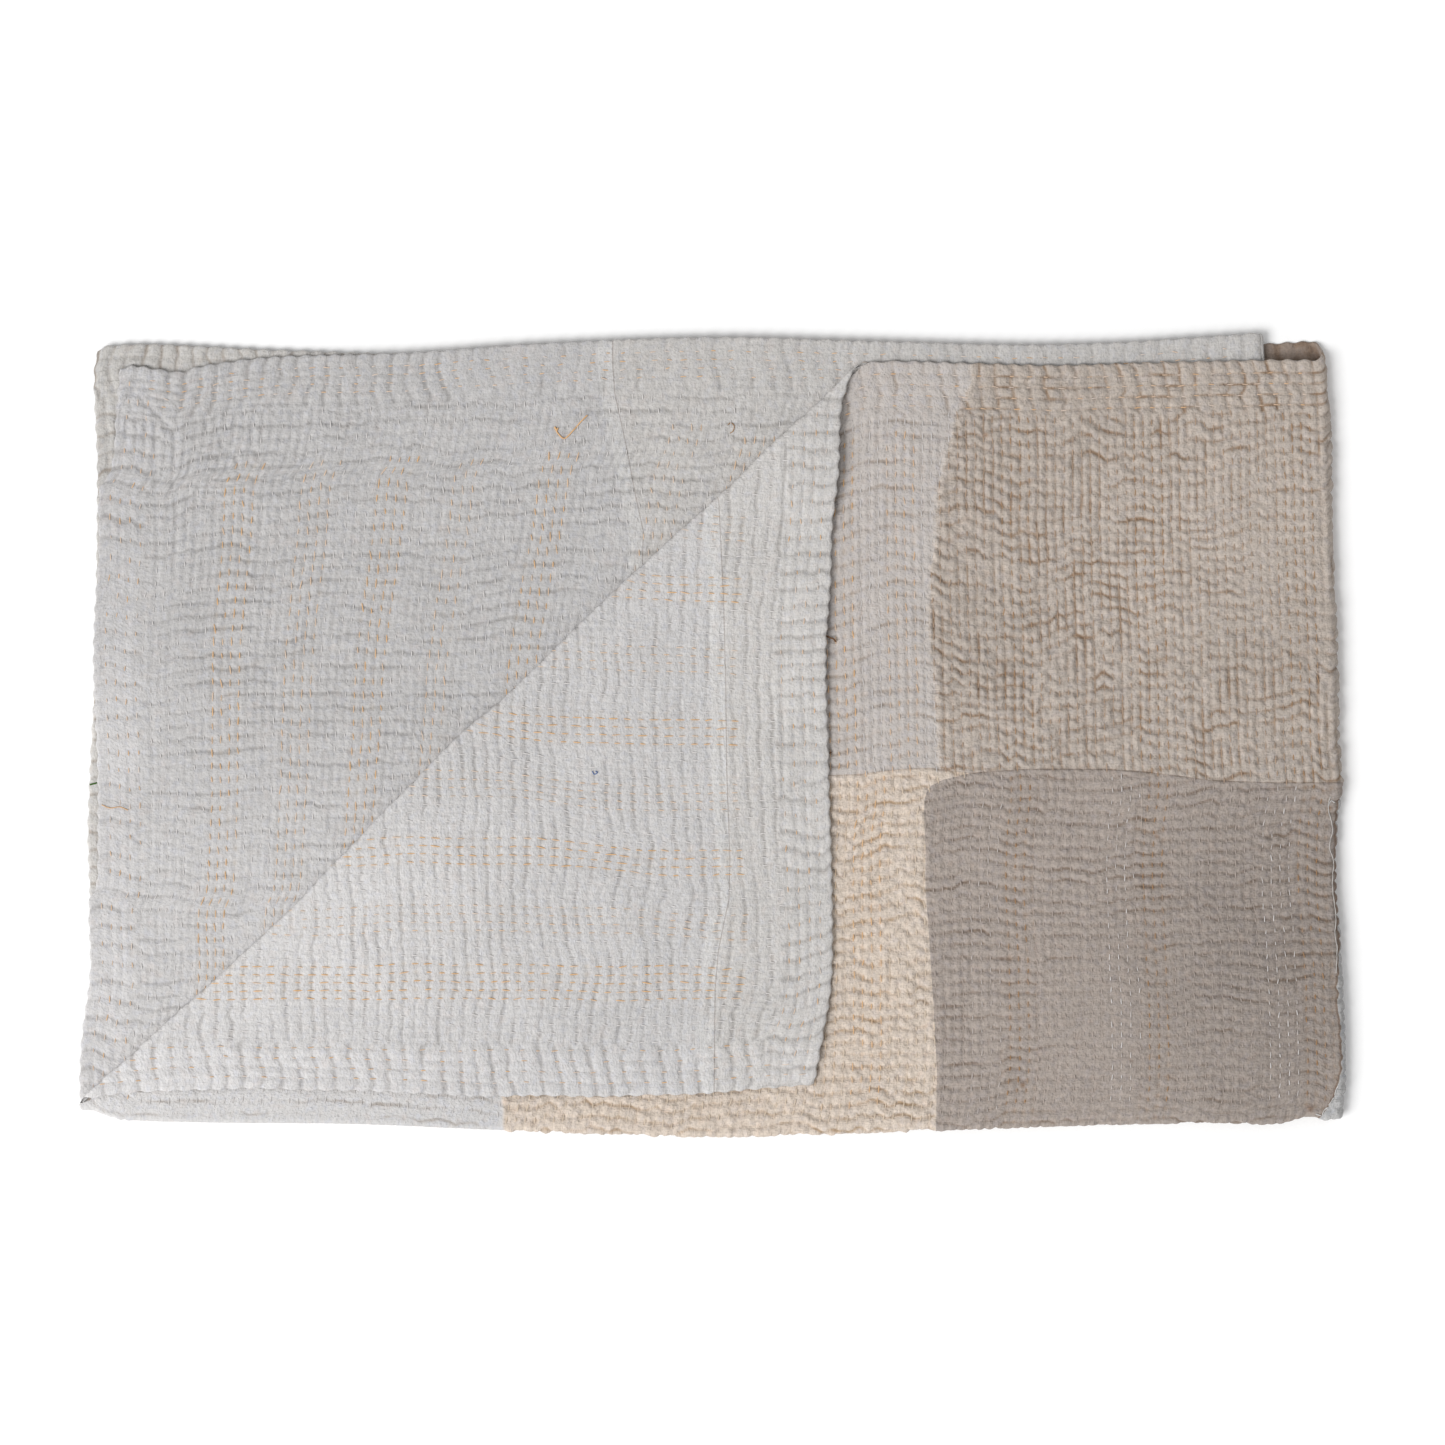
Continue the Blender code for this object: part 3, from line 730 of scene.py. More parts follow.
SPOTS = (
    (293, -333, 4.5, 0.9),
    (565, -355, 5.5, 0.8),
    (420, -98, 3.5, 0.7),
    (258, 282, 4.5, 0.8),
    (268, 287, 3.0, 0.5),
    (583, -71, 4.0, 0.9),
    (396, -310, 3.0, 0.4),
    (450, -234, 3.0, 0.5),
)


def creased(x, y, creases):
    """Height along creases that run over the stitching."""
    height = np.zeros(x.shape)
    for depth, width, points in creases:
        line = np.array(points, float)
        nearest = np.full(x.shape, np.inf)
        for start, end in zip(line[:-1], line[1:]):
            run = end - start
            share = ((x / MM - start[0]) * run[0] + (y / MM - start[1]) * run[1]) / (run @ run)
            share = np.clip(share, 0.0, 1.0)
            away = np.hypot(x / MM - start[0] - share * run[0], y / MM - start[1] - share * run[1])
            nearest = np.minimum(nearest, away)
        height -= depth * np.exp(-((nearest / width) ** 2)) * MM
    return height


def rounded_hem(a, b):
    """The cloth's share of its full thickness, which falls to nothing at the hems."""
    hem = np.clip(np.minimum(a, b) / HEM_ROUND, 0.0, 1.0)
    return np.sqrt(1 - (1 - hem) ** 2)


class Face:
    """One side of one layer. Places on it are metres from the layer's side hem and its top hem."""

    def __init__(self, side, beyond_right, beyond_bottom, relief, seed):
        self.side = side
        self.beyond_right = beyond_right
        self.beyond_bottom = beyond_bottom
        self.relief = relief
        self.seed = seed

    def nudge(self, a, b):
        """The hems bulge a little between stitches."""
        by_side = np.cos(2 * math.pi * beat(a, b, self.seed + SIDE_BORDER_SEED, "border"))
        by_end = np.cos(2 * math.pi * beat(b, a, self.seed + END_BORDER_SEED, "border"))
        shift = np.zeros(a.shape + (2,))
        shift[..., 0] = SCALLOP * by_side * np.exp(-a / (4 * MM))
        shift[..., 1] = -SCALLOP * by_end * np.exp(-b / (4 * MM))
        return shift

    def surface(self, a, b, rise=0.0):
        """Points on the face, which way they face, and the values that its material reads."""
        across = a / WIDTH
        down = b / HEIGHT
        across = 2 + RIGHT_TURN - across if self.beyond_right else across
        down = 2 + BOTTOM_TURN - down if self.beyond_bottom else down
        middle, front = folded(across, down, self.nudge(a, b))
        facing = self.side * front
        height, trough, values = self.relief(a, b, middle[..., 0], middle[..., 1])
        deeper = 1 + bulges(middle[..., :2], RUMPLES[self.side])
        height = kept_up(height * deeper)
        reach = (THICKNESS / 2 + height) * rounded_hem(a, b)
        values["trough"] = trough * np.clip(deeper, 0.0, 1.0)
        # Broad painted light and shade, with the cloth's own uneven colour, for the material.
        values["tone_and_painted_light"] = bulges(middle[..., :2], TONES_AND_PAINTED_LIGHT)
        values["cloth"] = np.stack([a, b, np.full(a.shape, self.seed * 0.1)], axis=-1)
        return middle + facing * (reach + rise)[..., None], facing, values


def stations(last, step):
    """Distances from a hem, closer together by the hem."""
    even = np.linspace(0.0, last, round(last / step) + 1)
    return np.concatenate([HEM_STATIONS, even[even > HEM_STATIONS[-1] + 0.4 * step]])


def grid_quads(kept):
    """Quads between a grid's rows and columns where all corners are kept, turned to the cloth's front."""
    rows, columns = kept.shape
    index = np.arange(rows * columns).reshape(rows, columns)
    corners = (index[:-1, :-1], index[1:, :-1], index[1:, 1:], index[:-1, 1:])
    whole = kept[:-1, :-1] & kept[1:, :-1] & kept[1:, 1:] & kept[:-1, 1:]
    return np.stack([corner[whole] for corner in corners], axis=-1)


def mesh_object(name, points, quads, values):
    """A smooth mesh of quads, with the numbers that its material reads at each point."""
    used, corners = np.unique(quads, return_inverse=True)
    data = bpy.data.meshes.new(name)
    data.vertices.add(len(used))
    data.vertices.foreach_set("co", points.reshape(-1, 3)[used].astype(np.float32).ravel())
    data.loops.add(corners.size)
    data.loops.foreach_set("vertex_index", corners.ravel().astype(np.int32))
    data.polygons.add(len(quads))
    data.polygons.foreach_set("loop_start", np.arange(0, corners.size, 4, dtype=np.int32))
    data.update(calc_edges=True)
    data.validate()
    data.shade_smooth()
    for key, value in values.items():
        if value.ndim == points.ndim:
            layer = data.attributes.new(key, "FLOAT_VECTOR", "POINT")
            layer.data.foreach_set("vector", value.reshape(-1, 3)[used].astype(np.float32).ravel())
        else:
            layer = data.attributes.new(key, "FLOAT", "POINT")
            layer.data.foreach_set("value", value.reshape(-1)[used].astype(np.float32))
    thing = bpy.data.objects.new(name, data)
    bpy.context.collection.objects.link(thing)
    return thing


def skin(name, face, a, b, shows):
    """The part of a face that shows, as a fine mesh."""
    points, _, values = face.surface(a, b)
    turned = face.side * (-1 if face.beyond_right else 1) * (-1 if face.beyond_bottom else 1)
    quads = grid_quads(shows)
    if turned < 0:
        quads = quads[:, ::-1]
    return mesh_object(name, points, quads, values)


# Where the puckers are deeper or shallower, on the front and on the back: x_mm, y_mm, radius_mm, share added.
RUMPLES = {
    1: (
        (534, 183, 120, -0.50),
        (384, -290, 150, -0.55),
        (250, -230, 100, 0.30),
        (300, 60, 120, 0.30),
        (520, -150, 130, 0.15),
        (560, -300, 90, -0.35),
        (-580, 330, 130, 0.90),
    ),
    -1: (
        (-480, 270, 150, 0.70),
        (-530, 330, 90, 0.40),
        (-60, 30, 120, -0.25),
        (-250, 200, 160, -0.15),
        (-580, 130, 110, -0.60),
        (-585, 0, 120, -0.55),
        (-470, -130, 200, -0.20),
        (-200, 375, 110, -0.40),
        (-100, 380, 110, -0.50),
        (0, 385, 110, -0.50),
        (110, 385, 110, -0.50),
        (220, 385, 110, -0.50),
        (330, 385, 110, -0.50),
        (440, 385, 110, -0.50),
        (60, -260, 120, 0.15),
    ),
}

# Broad lighter and darker places, partly painted light and shade (lighter towards the lower left, darker
# towards the right) and partly the cloth's own uneven colour: x_mm, y_mm, radius_mm, share of light added.
TONES_AND_PAINTED_LIGHT = (
    (-560, -300, 420, 0.20),
    (-600, 20, 120, 0.12),
    (-300, -200, 260, 0.08),
    (-330, 160, 200, -0.01),
    (540, -220, 260, -0.22),
    (300, 330, 200, -0.04),
    (250, 100, 110, -0.08),
    (470, 190, 150, 0.05),
    (540, 60, 140, -0.07),
    (350, 0, 110, -0.04),
    (60, 100, 160, 0.04),
    (-440, -395, 300, -0.10),
)


# Where each face shows. Places hidden deeper than this under the flap are left to the core.
UNDER_FLAP = 22 * MM
BEFORE_CREASE = 0.5 * MM
BEHIND_CREASE = 7 * MM
STRIP_WIDTH = 45 * MM
TOP_STRIP_FROM = 341 * MM
RIGHT_REACH = (1 + 0.75 * RIGHT_TURN) * WIDTH
BOTTOM_REACH = (1 + 0.80 * BOTTOM_TURN) * HEIGHT
BASE_SHOWN = (0.85 * WIDTH, (1 + 0.95 * RIGHT_TURN) * WIDTH)


def is_under_flap(x, y):
    side = np.array(FLAP_SIDE_EDGE, float) * MM
    bottom = np.array(FLAP_BOTTOM_EDGE, float) * MM
    left_of_side = np.interp(y, side[:, 1], side[:, 0]) - x
    above_bottom = y - np.interp(x, bottom[:, 0], bottom[:, 1])
    return (left_of_side > UNDER_FLAP) & (above_bottom > UNDER_FLAP)


def top_plan(a, b):
    """Where a place of the top layer would lie, and how far out of the crease, with no corner turned."""
    plan = layers["top"].at(np.clip(a / WIDTH, 0, 1), np.clip(b / HEIGHT, 0, 1))
    return plan, crease.measure(plan)[1]


def shows_front(a, b):
    plan, out = top_plan(a, b)
    return (out < BEFORE_CREASE) & ~is_under_flap(plan[..., 0], plan[..., 1])


def shows_flap(a, b):
    return top_plan(a, b)[1] > -BEHIND_CREASE


def shows_upper(a, b):
    plan = layers["upper"].at(a / WIDTH, b / HEIGHT)
    return (crease.measure(plan)[1] > -BEHIND_CREASE) | (plan[..., 1] > TOP_STRIP_FROM)


def shows_lower(a, b):
    return (a < STRIP_WIDTH) | (b < STRIP_WIDTH)


def shows_base(a, b):
    return (b < STRIP_WIDTH) & (a > BASE_SHOWN[0])


flap_relief = plain(FLAP_SEED, "flap", FLAP_SEAM, FLAP_CREASES, FLAP_GROUPS)
upper_relief = plain(UPPER_SEED, "upper", UPPER_SEAM, UPPER_CREASES, UPPER_GROUPS)
front = Face(1, False, False, patches, FRONT_SEED)
flap = Face(-1, False, False, flap_relief, FLAP_SEED)
upper = Face(-1, False, True, upper_relief, UPPER_SEED)
lower = Face(1, True, True, plain(LOWER_SEED, "lower"), LOWER_SEED)
base = Face(-1, True, False, plain(BASE_SEED, "upper"), BASE_SEED)


def add_skin(name, face, shows, across=(0, WIDTH), down=(0, HEIGHT), steps=(STEP_ACROSS, STEP_DOWN)):
    """The shown part of a face between two distances from each hem."""
    a = stations(across[1], steps[0])
    b = stations(down[1], steps[1])
    a, b = np.meshgrid(a[a >= across[0]], b[b >= down[0]])
    return skin(name, face, a, b, shows(a, b))


# How far below the layer's middle its grid meets the middle seam.
SEAM_BELOW_MIDDLE = 40 * MM


def split_front():
    """The front in two skins that meet along the middle seam."""
    a = stations(RIGHT_REACH, STEP_ACROSS)
    b = stations(BOTTOM_REACH, STEP_DOWN)
    plan = layers["top"].at(np.clip(a / WIDTH, 0, 1), np.full(a.shape, 0.5))
    seam_y = np.interp(plan[:, 0] / MM, *np.array(MIDDLE_SEAM, float).T) * MM
    seam_b = HEIGHT / 2 + (plan[:, 1] - seam_y)
    middle = np.searchsorted(b, HEIGHT / 2 + SEAM_BELOW_MIDDLE)
    upper_share = (b[: middle + 1] / b[middle])[:, None]
    lower_share = ((b[middle:] - b[middle]) / (b[-1] - b[middle]))[:, None]
    rows = np.broadcast_to(a, (len(b), len(a)))
    upper_b = upper_share * seam_b
    lower_b = seam_b + lower_share * (b[-1] - seam_b)
    upper_a, lower_a = rows[: middle + 1], rows[middle:]
    return [
        skin("upper_patches", front, upper_a, upper_b, shows_front(upper_a, upper_b)),
        skin("lower_patches", front, lower_a, lower_b, shows_front(lower_a, lower_b)),
    ]


# The core: the whole cloth, coarse, filling the layers under the skins and showing where they end.
CORE_STEP = 15 * MM
CORE_HEM = (0.6 * MM, 1.2 * MM, 2.2 * MM, 4.0 * MM, 8.0 * MM)
CORE_UNDER_SKIN = 0.1 * MM
CORE_BARE = 1.2 * MM
TURN_STEPS = 8


def core_stations(length, turn):
    """Cloth coordinates from one hem over the fold to the far hem."""
    hem = np.array(CORE_HEM) / length
    count = round((1 - hem[-1]) * length / CORE_STEP)
    side = np.concatenate([hem, np.linspace(hem[-1], 1, count + 1)[1:]])
    bend = 1 + turn * np.arange(1, TURN_STEPS) / TURN_STEPS
    return np.concatenate([side, bend, (2 + turn - side)[::-1]])


def core_reach(across, down, side):
    """How far the core's surface lies from the cloth's middle: less where a skin covers it."""
    beyond_right, beyond_bottom = across > 1 + RIGHT_TURN, down > 1 + BOTTOM_TURN
    a = WIDTH * np.where(across > 1 + RIGHT_TURN / 2, 2 + RIGHT_TURN - across, across)
    b = HEIGHT * np.where(down > 1 + BOTTOM_TURN / 2, 2 + BOTTOM_TURN - down, down)
    if side > 0:
        on_top = shows_front(a, b) & (across * WIDTH < RIGHT_REACH) & (down * HEIGHT < BOTTOM_REACH)
        covered = on_top | (beyond_right & beyond_bottom & shows_lower(a, b))
    else:
        over = ~beyond_right & (across <= 1)
        covered = over & (down <= 1) & shows_flap(a, b)
        covered |= over & beyond_bottom & shows_upper(a, b)
        covered |= (across > 1) & (down <= 1) & shows_base(a, b)
    return np.where(covered, CORE_UNDER_SKIN, CORE_BARE) * rounded_hem(a, b)


def make_core():
    across, down = np.meshgrid(core_stations(WIDTH, RIGHT_TURN), core_stations(HEIGHT, BOTTOM_TURN))
    middle, facing = folded(across, down)
    sides = [middle + side * facing * core_reach(across, down, side)[..., None] for side in (1, -1)]
    quads = grid_quads(np.ones(across.shape, bool))
    index = np.arange(across.size).reshape(across.shape)
    rim = np.concatenate([index[:-1, 0], index[-1, :-1], index[:0:-1, -1], index[0, :0:-1]])
    following = np.roll(rim, -1)
    count = across.size
    walls = np.stack([following, rim, rim + count, following + count], axis=-1)
    quads = np.concatenate([quads, quads[:, ::-1] + count, walls])
    cloth = np.stack([across * WIDTH, down * HEIGHT, np.zeros(across.shape)], axis=-1)
    is_front = np.concatenate([np.ones(count), np.zeros(count)])
    # Broad painted light and shade, with the cloth's own uneven colour.
    tone_and_painted_light = bulges(middle[..., :2], TONES_AND_PAINTED_LIGHT)
    values = {"cloth": np.tile(cloth, (2, 1, 1)), "is_front": is_front, "tone_and_painted_light": np.tile(tone_and_painted_light, (2, 1))}
    return mesh_object("cloth", np.concatenate(sides), quads, values)


# Running stitches: each is a short thread that bridges one trough and dips in at both ends.
THREAD_SECTIONS = (-1.0, -0.55, 0.55, 1.0)
THREAD_ANGLES = (0.0, math.pi / 2, math.pi)
THREAD_ARCH = 0.35 * MM
THREAD_SINK = 0.30 * MM
THREAD_RISE = 0.35 * MM
THREAD_TAPER = 1.15
THREAD_FLATNESS = 0.8
STITCH_ROUNDS = 6

# The spread of the stitches' lengths, radii and slants, and of the dye in them.
LENGTH_SPREAD = (0.65, 1.25)
RADIUS_SPREAD = (0.75, 1.15)
SLANT_SPREAD = 0.10
DYE_SPREAD = (0.55, 1.15)
PATCH_DYE_SPREAD = (0.5, 1.2)
BORDER_DYE_SPREAD = (0.2, 0.95)

# Shares of stitches that are missing: in dyed rows, in pale rows, and on the borders and the front.
MISSING_DYED, MISSING_PALE, MISSING = 0.07, 0.40, 0.1
BORDER_ROWS = (1, 2, 3, 4)


def linear(colour):
    """A colour from its tones as a photo shows them, from 0 to 255."""
    share = np.array(colour, float) / 255
    return np.where(share < 0.04045, share / 12.92, ((share + 0.055) / 1.055) ** 2.4)


class Thread:
    """Stitches gathered from several rows into one mesh."""

    def __init__(self):
        self.points = []
        self.colours = []

    def add(self, start, end, facing, colour, radius):
        """Threads between pairs of points on a face."""
        run = end - start
        sideways = np.cross(facing, run)
        sideways /= np.linalg.norm(sideways, axis=-1, keepdims=True)
        rings = []
        for t in THREAD_SECTIONS:
            lift = THREAD_ARCH * (1 - t * t) - THREAD_SINK * t * t
            centre = start + run * (1 + t) / 2 + facing * lift
            size = (radius * math.sqrt(THREAD_TAPER - t * t))[..., None]
            arcs = [
                centre + sideways * size * math.cos(angle) + facing * size * THREAD_FLATNESS * math.sin(angle)
                for angle in THREAD_ANGLES
            ]
            rings.append(np.stack(arcs, axis=-2))
        self.points.append(np.stack(rings, axis=-3))
        self.colours.append(colour)

    def build(self, name):
        points = np.concatenate(self.points)
        colours = np.concatenate(self.colours)
        sections, angles = len(THREAD_SECTIONS), len(THREAD_ANGLES)
        one = grid_quads(np.ones((sections, angles), bool))
        first = np.arange(len(points)) * sections * angles
        quads = (first[:, None, None] + one).reshape(-1, 4)
        spread = np.broadcast_to(colours[:, None, None, :], points.shape[:3] + (3,))
        return mesh_object(name, points, quads, {"dye": spread})


def stitch_places(rows, last, seed, style):
    """Across and along of the stitches of some rows."""
    pitch, spacing = STYLES[style].pitch * MM, STYLES[style].rows * MM
    row, number = np.meshgrid(np.asarray(rows, float), np.arange(1, int(last / pitch)))
    across = STYLES[style].first_row * MM + row * spacing
    along = number * pitch
    for _ in range(STITCH_ROUNDS):
        along = along + (number - beat(across, along, seed, style)) * pitch
        across = across + (row - row_number(across, along, seed, style)) * spacing
    return across.ravel(), along.ravel()


def sew(thread, face, a, b, is_down, colour, random, length=STITCH_LENGTH):
    """Adds a stitch at each place, along the rows that run down or across."""
    count = len(a)
    half = length / 2 * random.uniform(*LENGTH_SPREAD, count)
    slant = random.normal(0.0, SLANT_SPREAD, count)
    radius = STITCH_RADIUS * random.uniform(*RADIUS_SPREAD, count)
    step_a = half * (np.sin(slant) if is_down else np.cos(slant))
    step_b = half * (np.cos(slant) if is_down else np.sin(slant))
    start, facing, _ = face.surface(a - step_a, b - step_b, THREAD_RISE)
    end, _, _ = face.surface(a + step_a, b + step_b, THREAD_RISE)
    thread.add(start, end, facing, colour, radius)


def dyed(low, high, share):
    """Colours between two dyes, by each stitch's own share."""
    return linear(low) + (linear(high) - linear(low)) * np.clip(share, 0, 1)[:, None]


def main_rows(face, seed, style, last_a, last_b):
    """The places of the stitches of all the rows that run down a face, clear of its borders."""
    rows = np.arange(0, int(last_a / MM / STYLES[style].rows))
    a, b = stitch_places(rows, last_b, seed, style)
    clear = (a > BORDER_WIDTH + 2 * MM) & (b > BORDER_WIDTH + 2 * MM) & (a < last_a)
    return a[clear], b[clear]


def sew_plain(thread, face, seed, style, groups, shows, random):
    """The running stitches of a plain side."""
    a, b = main_rows(face, seed, style, WIDTH, HEIGHT)
    missing = np.where(group_strength(a, b, seed, groups) > 0, MISSING_DYED, MISSING_PALE)
    used = shows(a, b) & (random.uniform(0, 1, a.shape) > missing)
    a, b = a[used], b[used]
    strength = group_strength(a, b, seed, groups)
    uneven = random.uniform(*DYE_SPREAD, a.shape)
    colour = dyed(WHITE_THREAD, ORANGE, strength * uneven)
    sew(thread, face, a, b, True, colour, random, STITCH_LENGTH * (0.75 + 0.25 * (strength > 0.6)))
    sew_border(thread, face, seed, shows, random)


def sew_border(thread, face, seed, shows, random):
    """The pale rows that run along the hems."""
    for is_side, last, more, style in (
        (True, HEIGHT, SIDE_BORDER_SEED, "border"),
        (False, WIDTH, END_BORDER_SEED, END_BORDERS.get(seed, "border")),
    ):
        off, along = stitch_places(BORDER_ROWS, last, seed + more, style)
        a, b = (off, along) if is_side else (along, off)
        nearer = a < b if is_side else b <= a
        used = shows(a, b) & nearer & (random.uniform(0, 1, a.shape) > MISSING)
        colour = dyed(WHITE_THREAD, ORANGE, random.uniform(*BORDER_DYE_SPREAD, a.shape))
        sew(thread, face, a[used], b[used], is_side, colour[used], random, BORDER_STITCH)


def patch_at(a, b):
    """The patch that each place of the front lies on."""
    plan, _ = top_plan(a, b)
    x, y = plan[..., 0], plan[..., 1]
    is_low = below(x, y, MIDDLE_SEAM) > 0
    is_taupe = past_taupe_seam(x, y) > 0
    is_beige = right_of(x, y, GREY_BEIGE_SEAM) > 0
    above = np.where(is_beige, "beige", "grey")
    under = np.where(is_taupe, "taupe", np.where(x / MM > WORN_SEAM_X, "cream", "worn"))
    return np.where(is_low, under, above)


def group_colours(a, b, seed, plain_dye, groups, random):
    """Each stitch's colour, from the dyed groups that its row belongs to."""
    colour = np.broadcast_to(linear(plain_dye), a.shape + (3,))
    for middle, dye, full, first, last in groups:
        strength = group_strength(a, b, seed, [(middle, full, first, last)])
        share = np.clip(strength * random.uniform(*PATCH_DYE_SPREAD, a.shape), 0, 1)[:, None]
        colour = colour * (1 - share) + linear(dye) * share
    return colour


def sew_front(thread, random):
    for name, (seed, plain_dye, groups) in FRONT_PATCHES.items():
        a, b = main_rows(front, seed, name, WIDTH, HEIGHT)
        used = shows_front(a, b) & (patch_at(a, b) == name) & (random.uniform(0, 1, a.shape) > MISSING)
        a, b = a[used], b[used]
        length = STITCH_LENGTH * (0.65 if name == "taupe" else 0.9)
        sew(thread, front, a, b, True, group_colours(a, b, seed, plain_dye, groups, random), random, length)
        sew_border(thread, front, seed, lambda a, b: shows_front(a, b) & (patch_at(a, b) == name), random)


# Loose and whipped threads: face, radius_mm, colour, rise_mm, and points as x and y in millimetres.
LOOSE_THREADS = (
    ("lower", 0.8, (72, 100, 52), 0.6, ((-591, -49), (-587, -48), (-583, -47))),
    (
        "upper", 0.6, ORANGE, 0.8,
        ((-149, 288), (-147, 284), (-141, 279), (-132, 287), (-125, 295), (-119, 301)),
    ),
    ("upper", 0.9, ORANGE, 0.8, ((-150, 290), (-148, 287), (-147, 289))),
    ("upper", 0.4, BROWN, 0.6, ((14, 292), (17, 294), (20, 291), (19, 286), (16, 284))),
    ("upper", 0.4, ORANGE, 0.6, ((-579, -68), (-571, -71), (-562, -70), (-554, -73))),
    ("flap", 0.5, (96, 116, 158), 0.5, ((-114, -36), (-112, -39), (-109, -37), (-111, -36))),
    ("front", 0.8, (112, 84, 62), 3.0, ((107, 92), (111, 90), (114, 89), (116, 86))),
    ("front", 0.6, (112, 84, 62), 3.0, ((107, -17), (110, -19), (112, -18))),
    ("front", 0.3, (196, 184, 174), 0.4, ((405, -54), (406, -70), (405, -92))),
    (
        "front", 0.5, (188, 184, 180), 0.6,
        (
            (584, -60), (582, -70), (586, -91), (583, -107), (587, -122), (586, -134), (586, -149),
            (589, -174), (588, -191), (590, -203), (589, -227),
        ),
    ),
    ("front", 0.5, (200, 198, 196), 0.6, ((582, -69), (585, -64), (588, -66))),
    ("front", 0.5, (206, 204, 202), 0.8, ((591, -334), (589, -338), (588, -342))),
    ("front", 0.5, (206, 204, 202), 0.8, ((587, -345), (585, -348), (582, -352))),
    ("front", 0.5, (206, 204, 202), 0.8, ((581, -354), (578, -357), (576, -361))),
    ("front", 0.5, (206, 204, 202), 0.8, ((575, -362), (572, -365), (570, -368))),
)
CORD_SIDES = 6
CORD_STEP = 0.8
PLACING_ROUNDS = 24
PLACING_STEP = 0.8
FARTHEST_CORD = (1 + 0.42 * RIGHT_TURN) * WIDTH


def place_on(face, points):
    """Distances from the side hem and the top hem of places on a face."""
    a, b = points[:, 0] + WIDTH / 2, HEIGHT / 2 - points[:, 1]
    for _ in range(PLACING_ROUNDS):
        if face is flap:
            here = layers["top"].at(a / WIDTH, b / HEIGHT)
        else:
            here = face.surface(a, b)[0]
        a = np.clip(a + PLACING_STEP * (points[:, 0] - here[:, 0]), 0.0, FARTHEST_CORD)
        b = np.clip(b - PLACING_STEP * (points[:, 1] - here[:, 1]), 0.0, HEIGHT)
    return a, b


def cord(face, points, radius, rise):
    """A thread that lies along a line on a face."""
    line = Edge(points)
    length = np.linalg.norm(np.diff(line.places, axis=0), axis=1).sum()
    path = line.at(np.linspace(0, 1, max(4, round(length / CORD_STEP)))) * MM
    if face is flap:
        path = crease.unturned(path)
    centre, facing, _ = face.surface(*place_on(face, path), rise)
    run = np.gradient(centre, axis=0)
    sideways = np.cross(facing, run)
    sideways /= np.linalg.norm(sideways, axis=-1, keepdims=True)
    angles = np.linspace(0, 2 * math.pi, CORD_SIDES, endpoint=False)[:, None]
    rings = sideways[:, None] * np.cos(angles) + facing[:, None] * np.sin(angles)
    return centre[:, None] + radius * rings


def lay_threads():
    """All the loose and whipped threads as one mesh."""
    faces = {"upper": upper, "flap": flap, "front": front, "lower": lower}
    points, quads, colours, count = [], [], [], 0
    for name, radius, colour, rise, line in LOOSE_THREADS:
        tube = cord(faces[name], line, radius * MM, rise * MM)
        index = count + np.arange(tube.shape[0] * CORD_SIDES).reshape(tube.shape[:2])
        index = np.concatenate([index, index[:, :1]], axis=1)
        corners = (index[:-1, :-1], index[:-1, 1:], index[1:, 1:], index[1:, :-1])
        quads.append(np.stack(corners, axis=-1).reshape(-1, 4))
        points.append(tube.reshape(-1, 3))
        colours.append(np.broadcast_to(linear(colour), points[-1].shape))
        count += len(points[-1])
    dyes = {"dye": np.concatenate(colours)}
    return mesh_object("loose_threads", np.concatenate(points), np.concatenate(quads), dyes)


def sew_all():
    threads = []
    for name, face, seed, style, groups, shows in (
        ("upper_stitches", upper, UPPER_SEED, "upper", UPPER_GROUPS, shows_upper),
        ("flap_stitches", flap, FLAP_SEED, "flap", FLAP_GROUPS, shows_flap),
    ):
        thread = Thread()
        sew_plain(thread, face, seed, style, groups, shows, np.random.default_rng(seed))
        threads.append(thread.build(name))
    thread = Thread()
    sew_front(thread, np.random.default_rng(FRONT_SEED))
    threads.append(thread.build("front_stitches"))
    threads.append(lay_threads())
    return threads


# The light on the quilt, as a share of what a white floor needs to look white.
LIGHT = 1.125


def albedo(colour):
    """The colour that looks like these tones under the scene's light."""
    return (*(linear(colour) / LIGHT), 1.0)


# The yarns' spacing and how much longer than wide their slubs are.
YARN = 0.9 * MM
YARN_STRETCH = 0.09


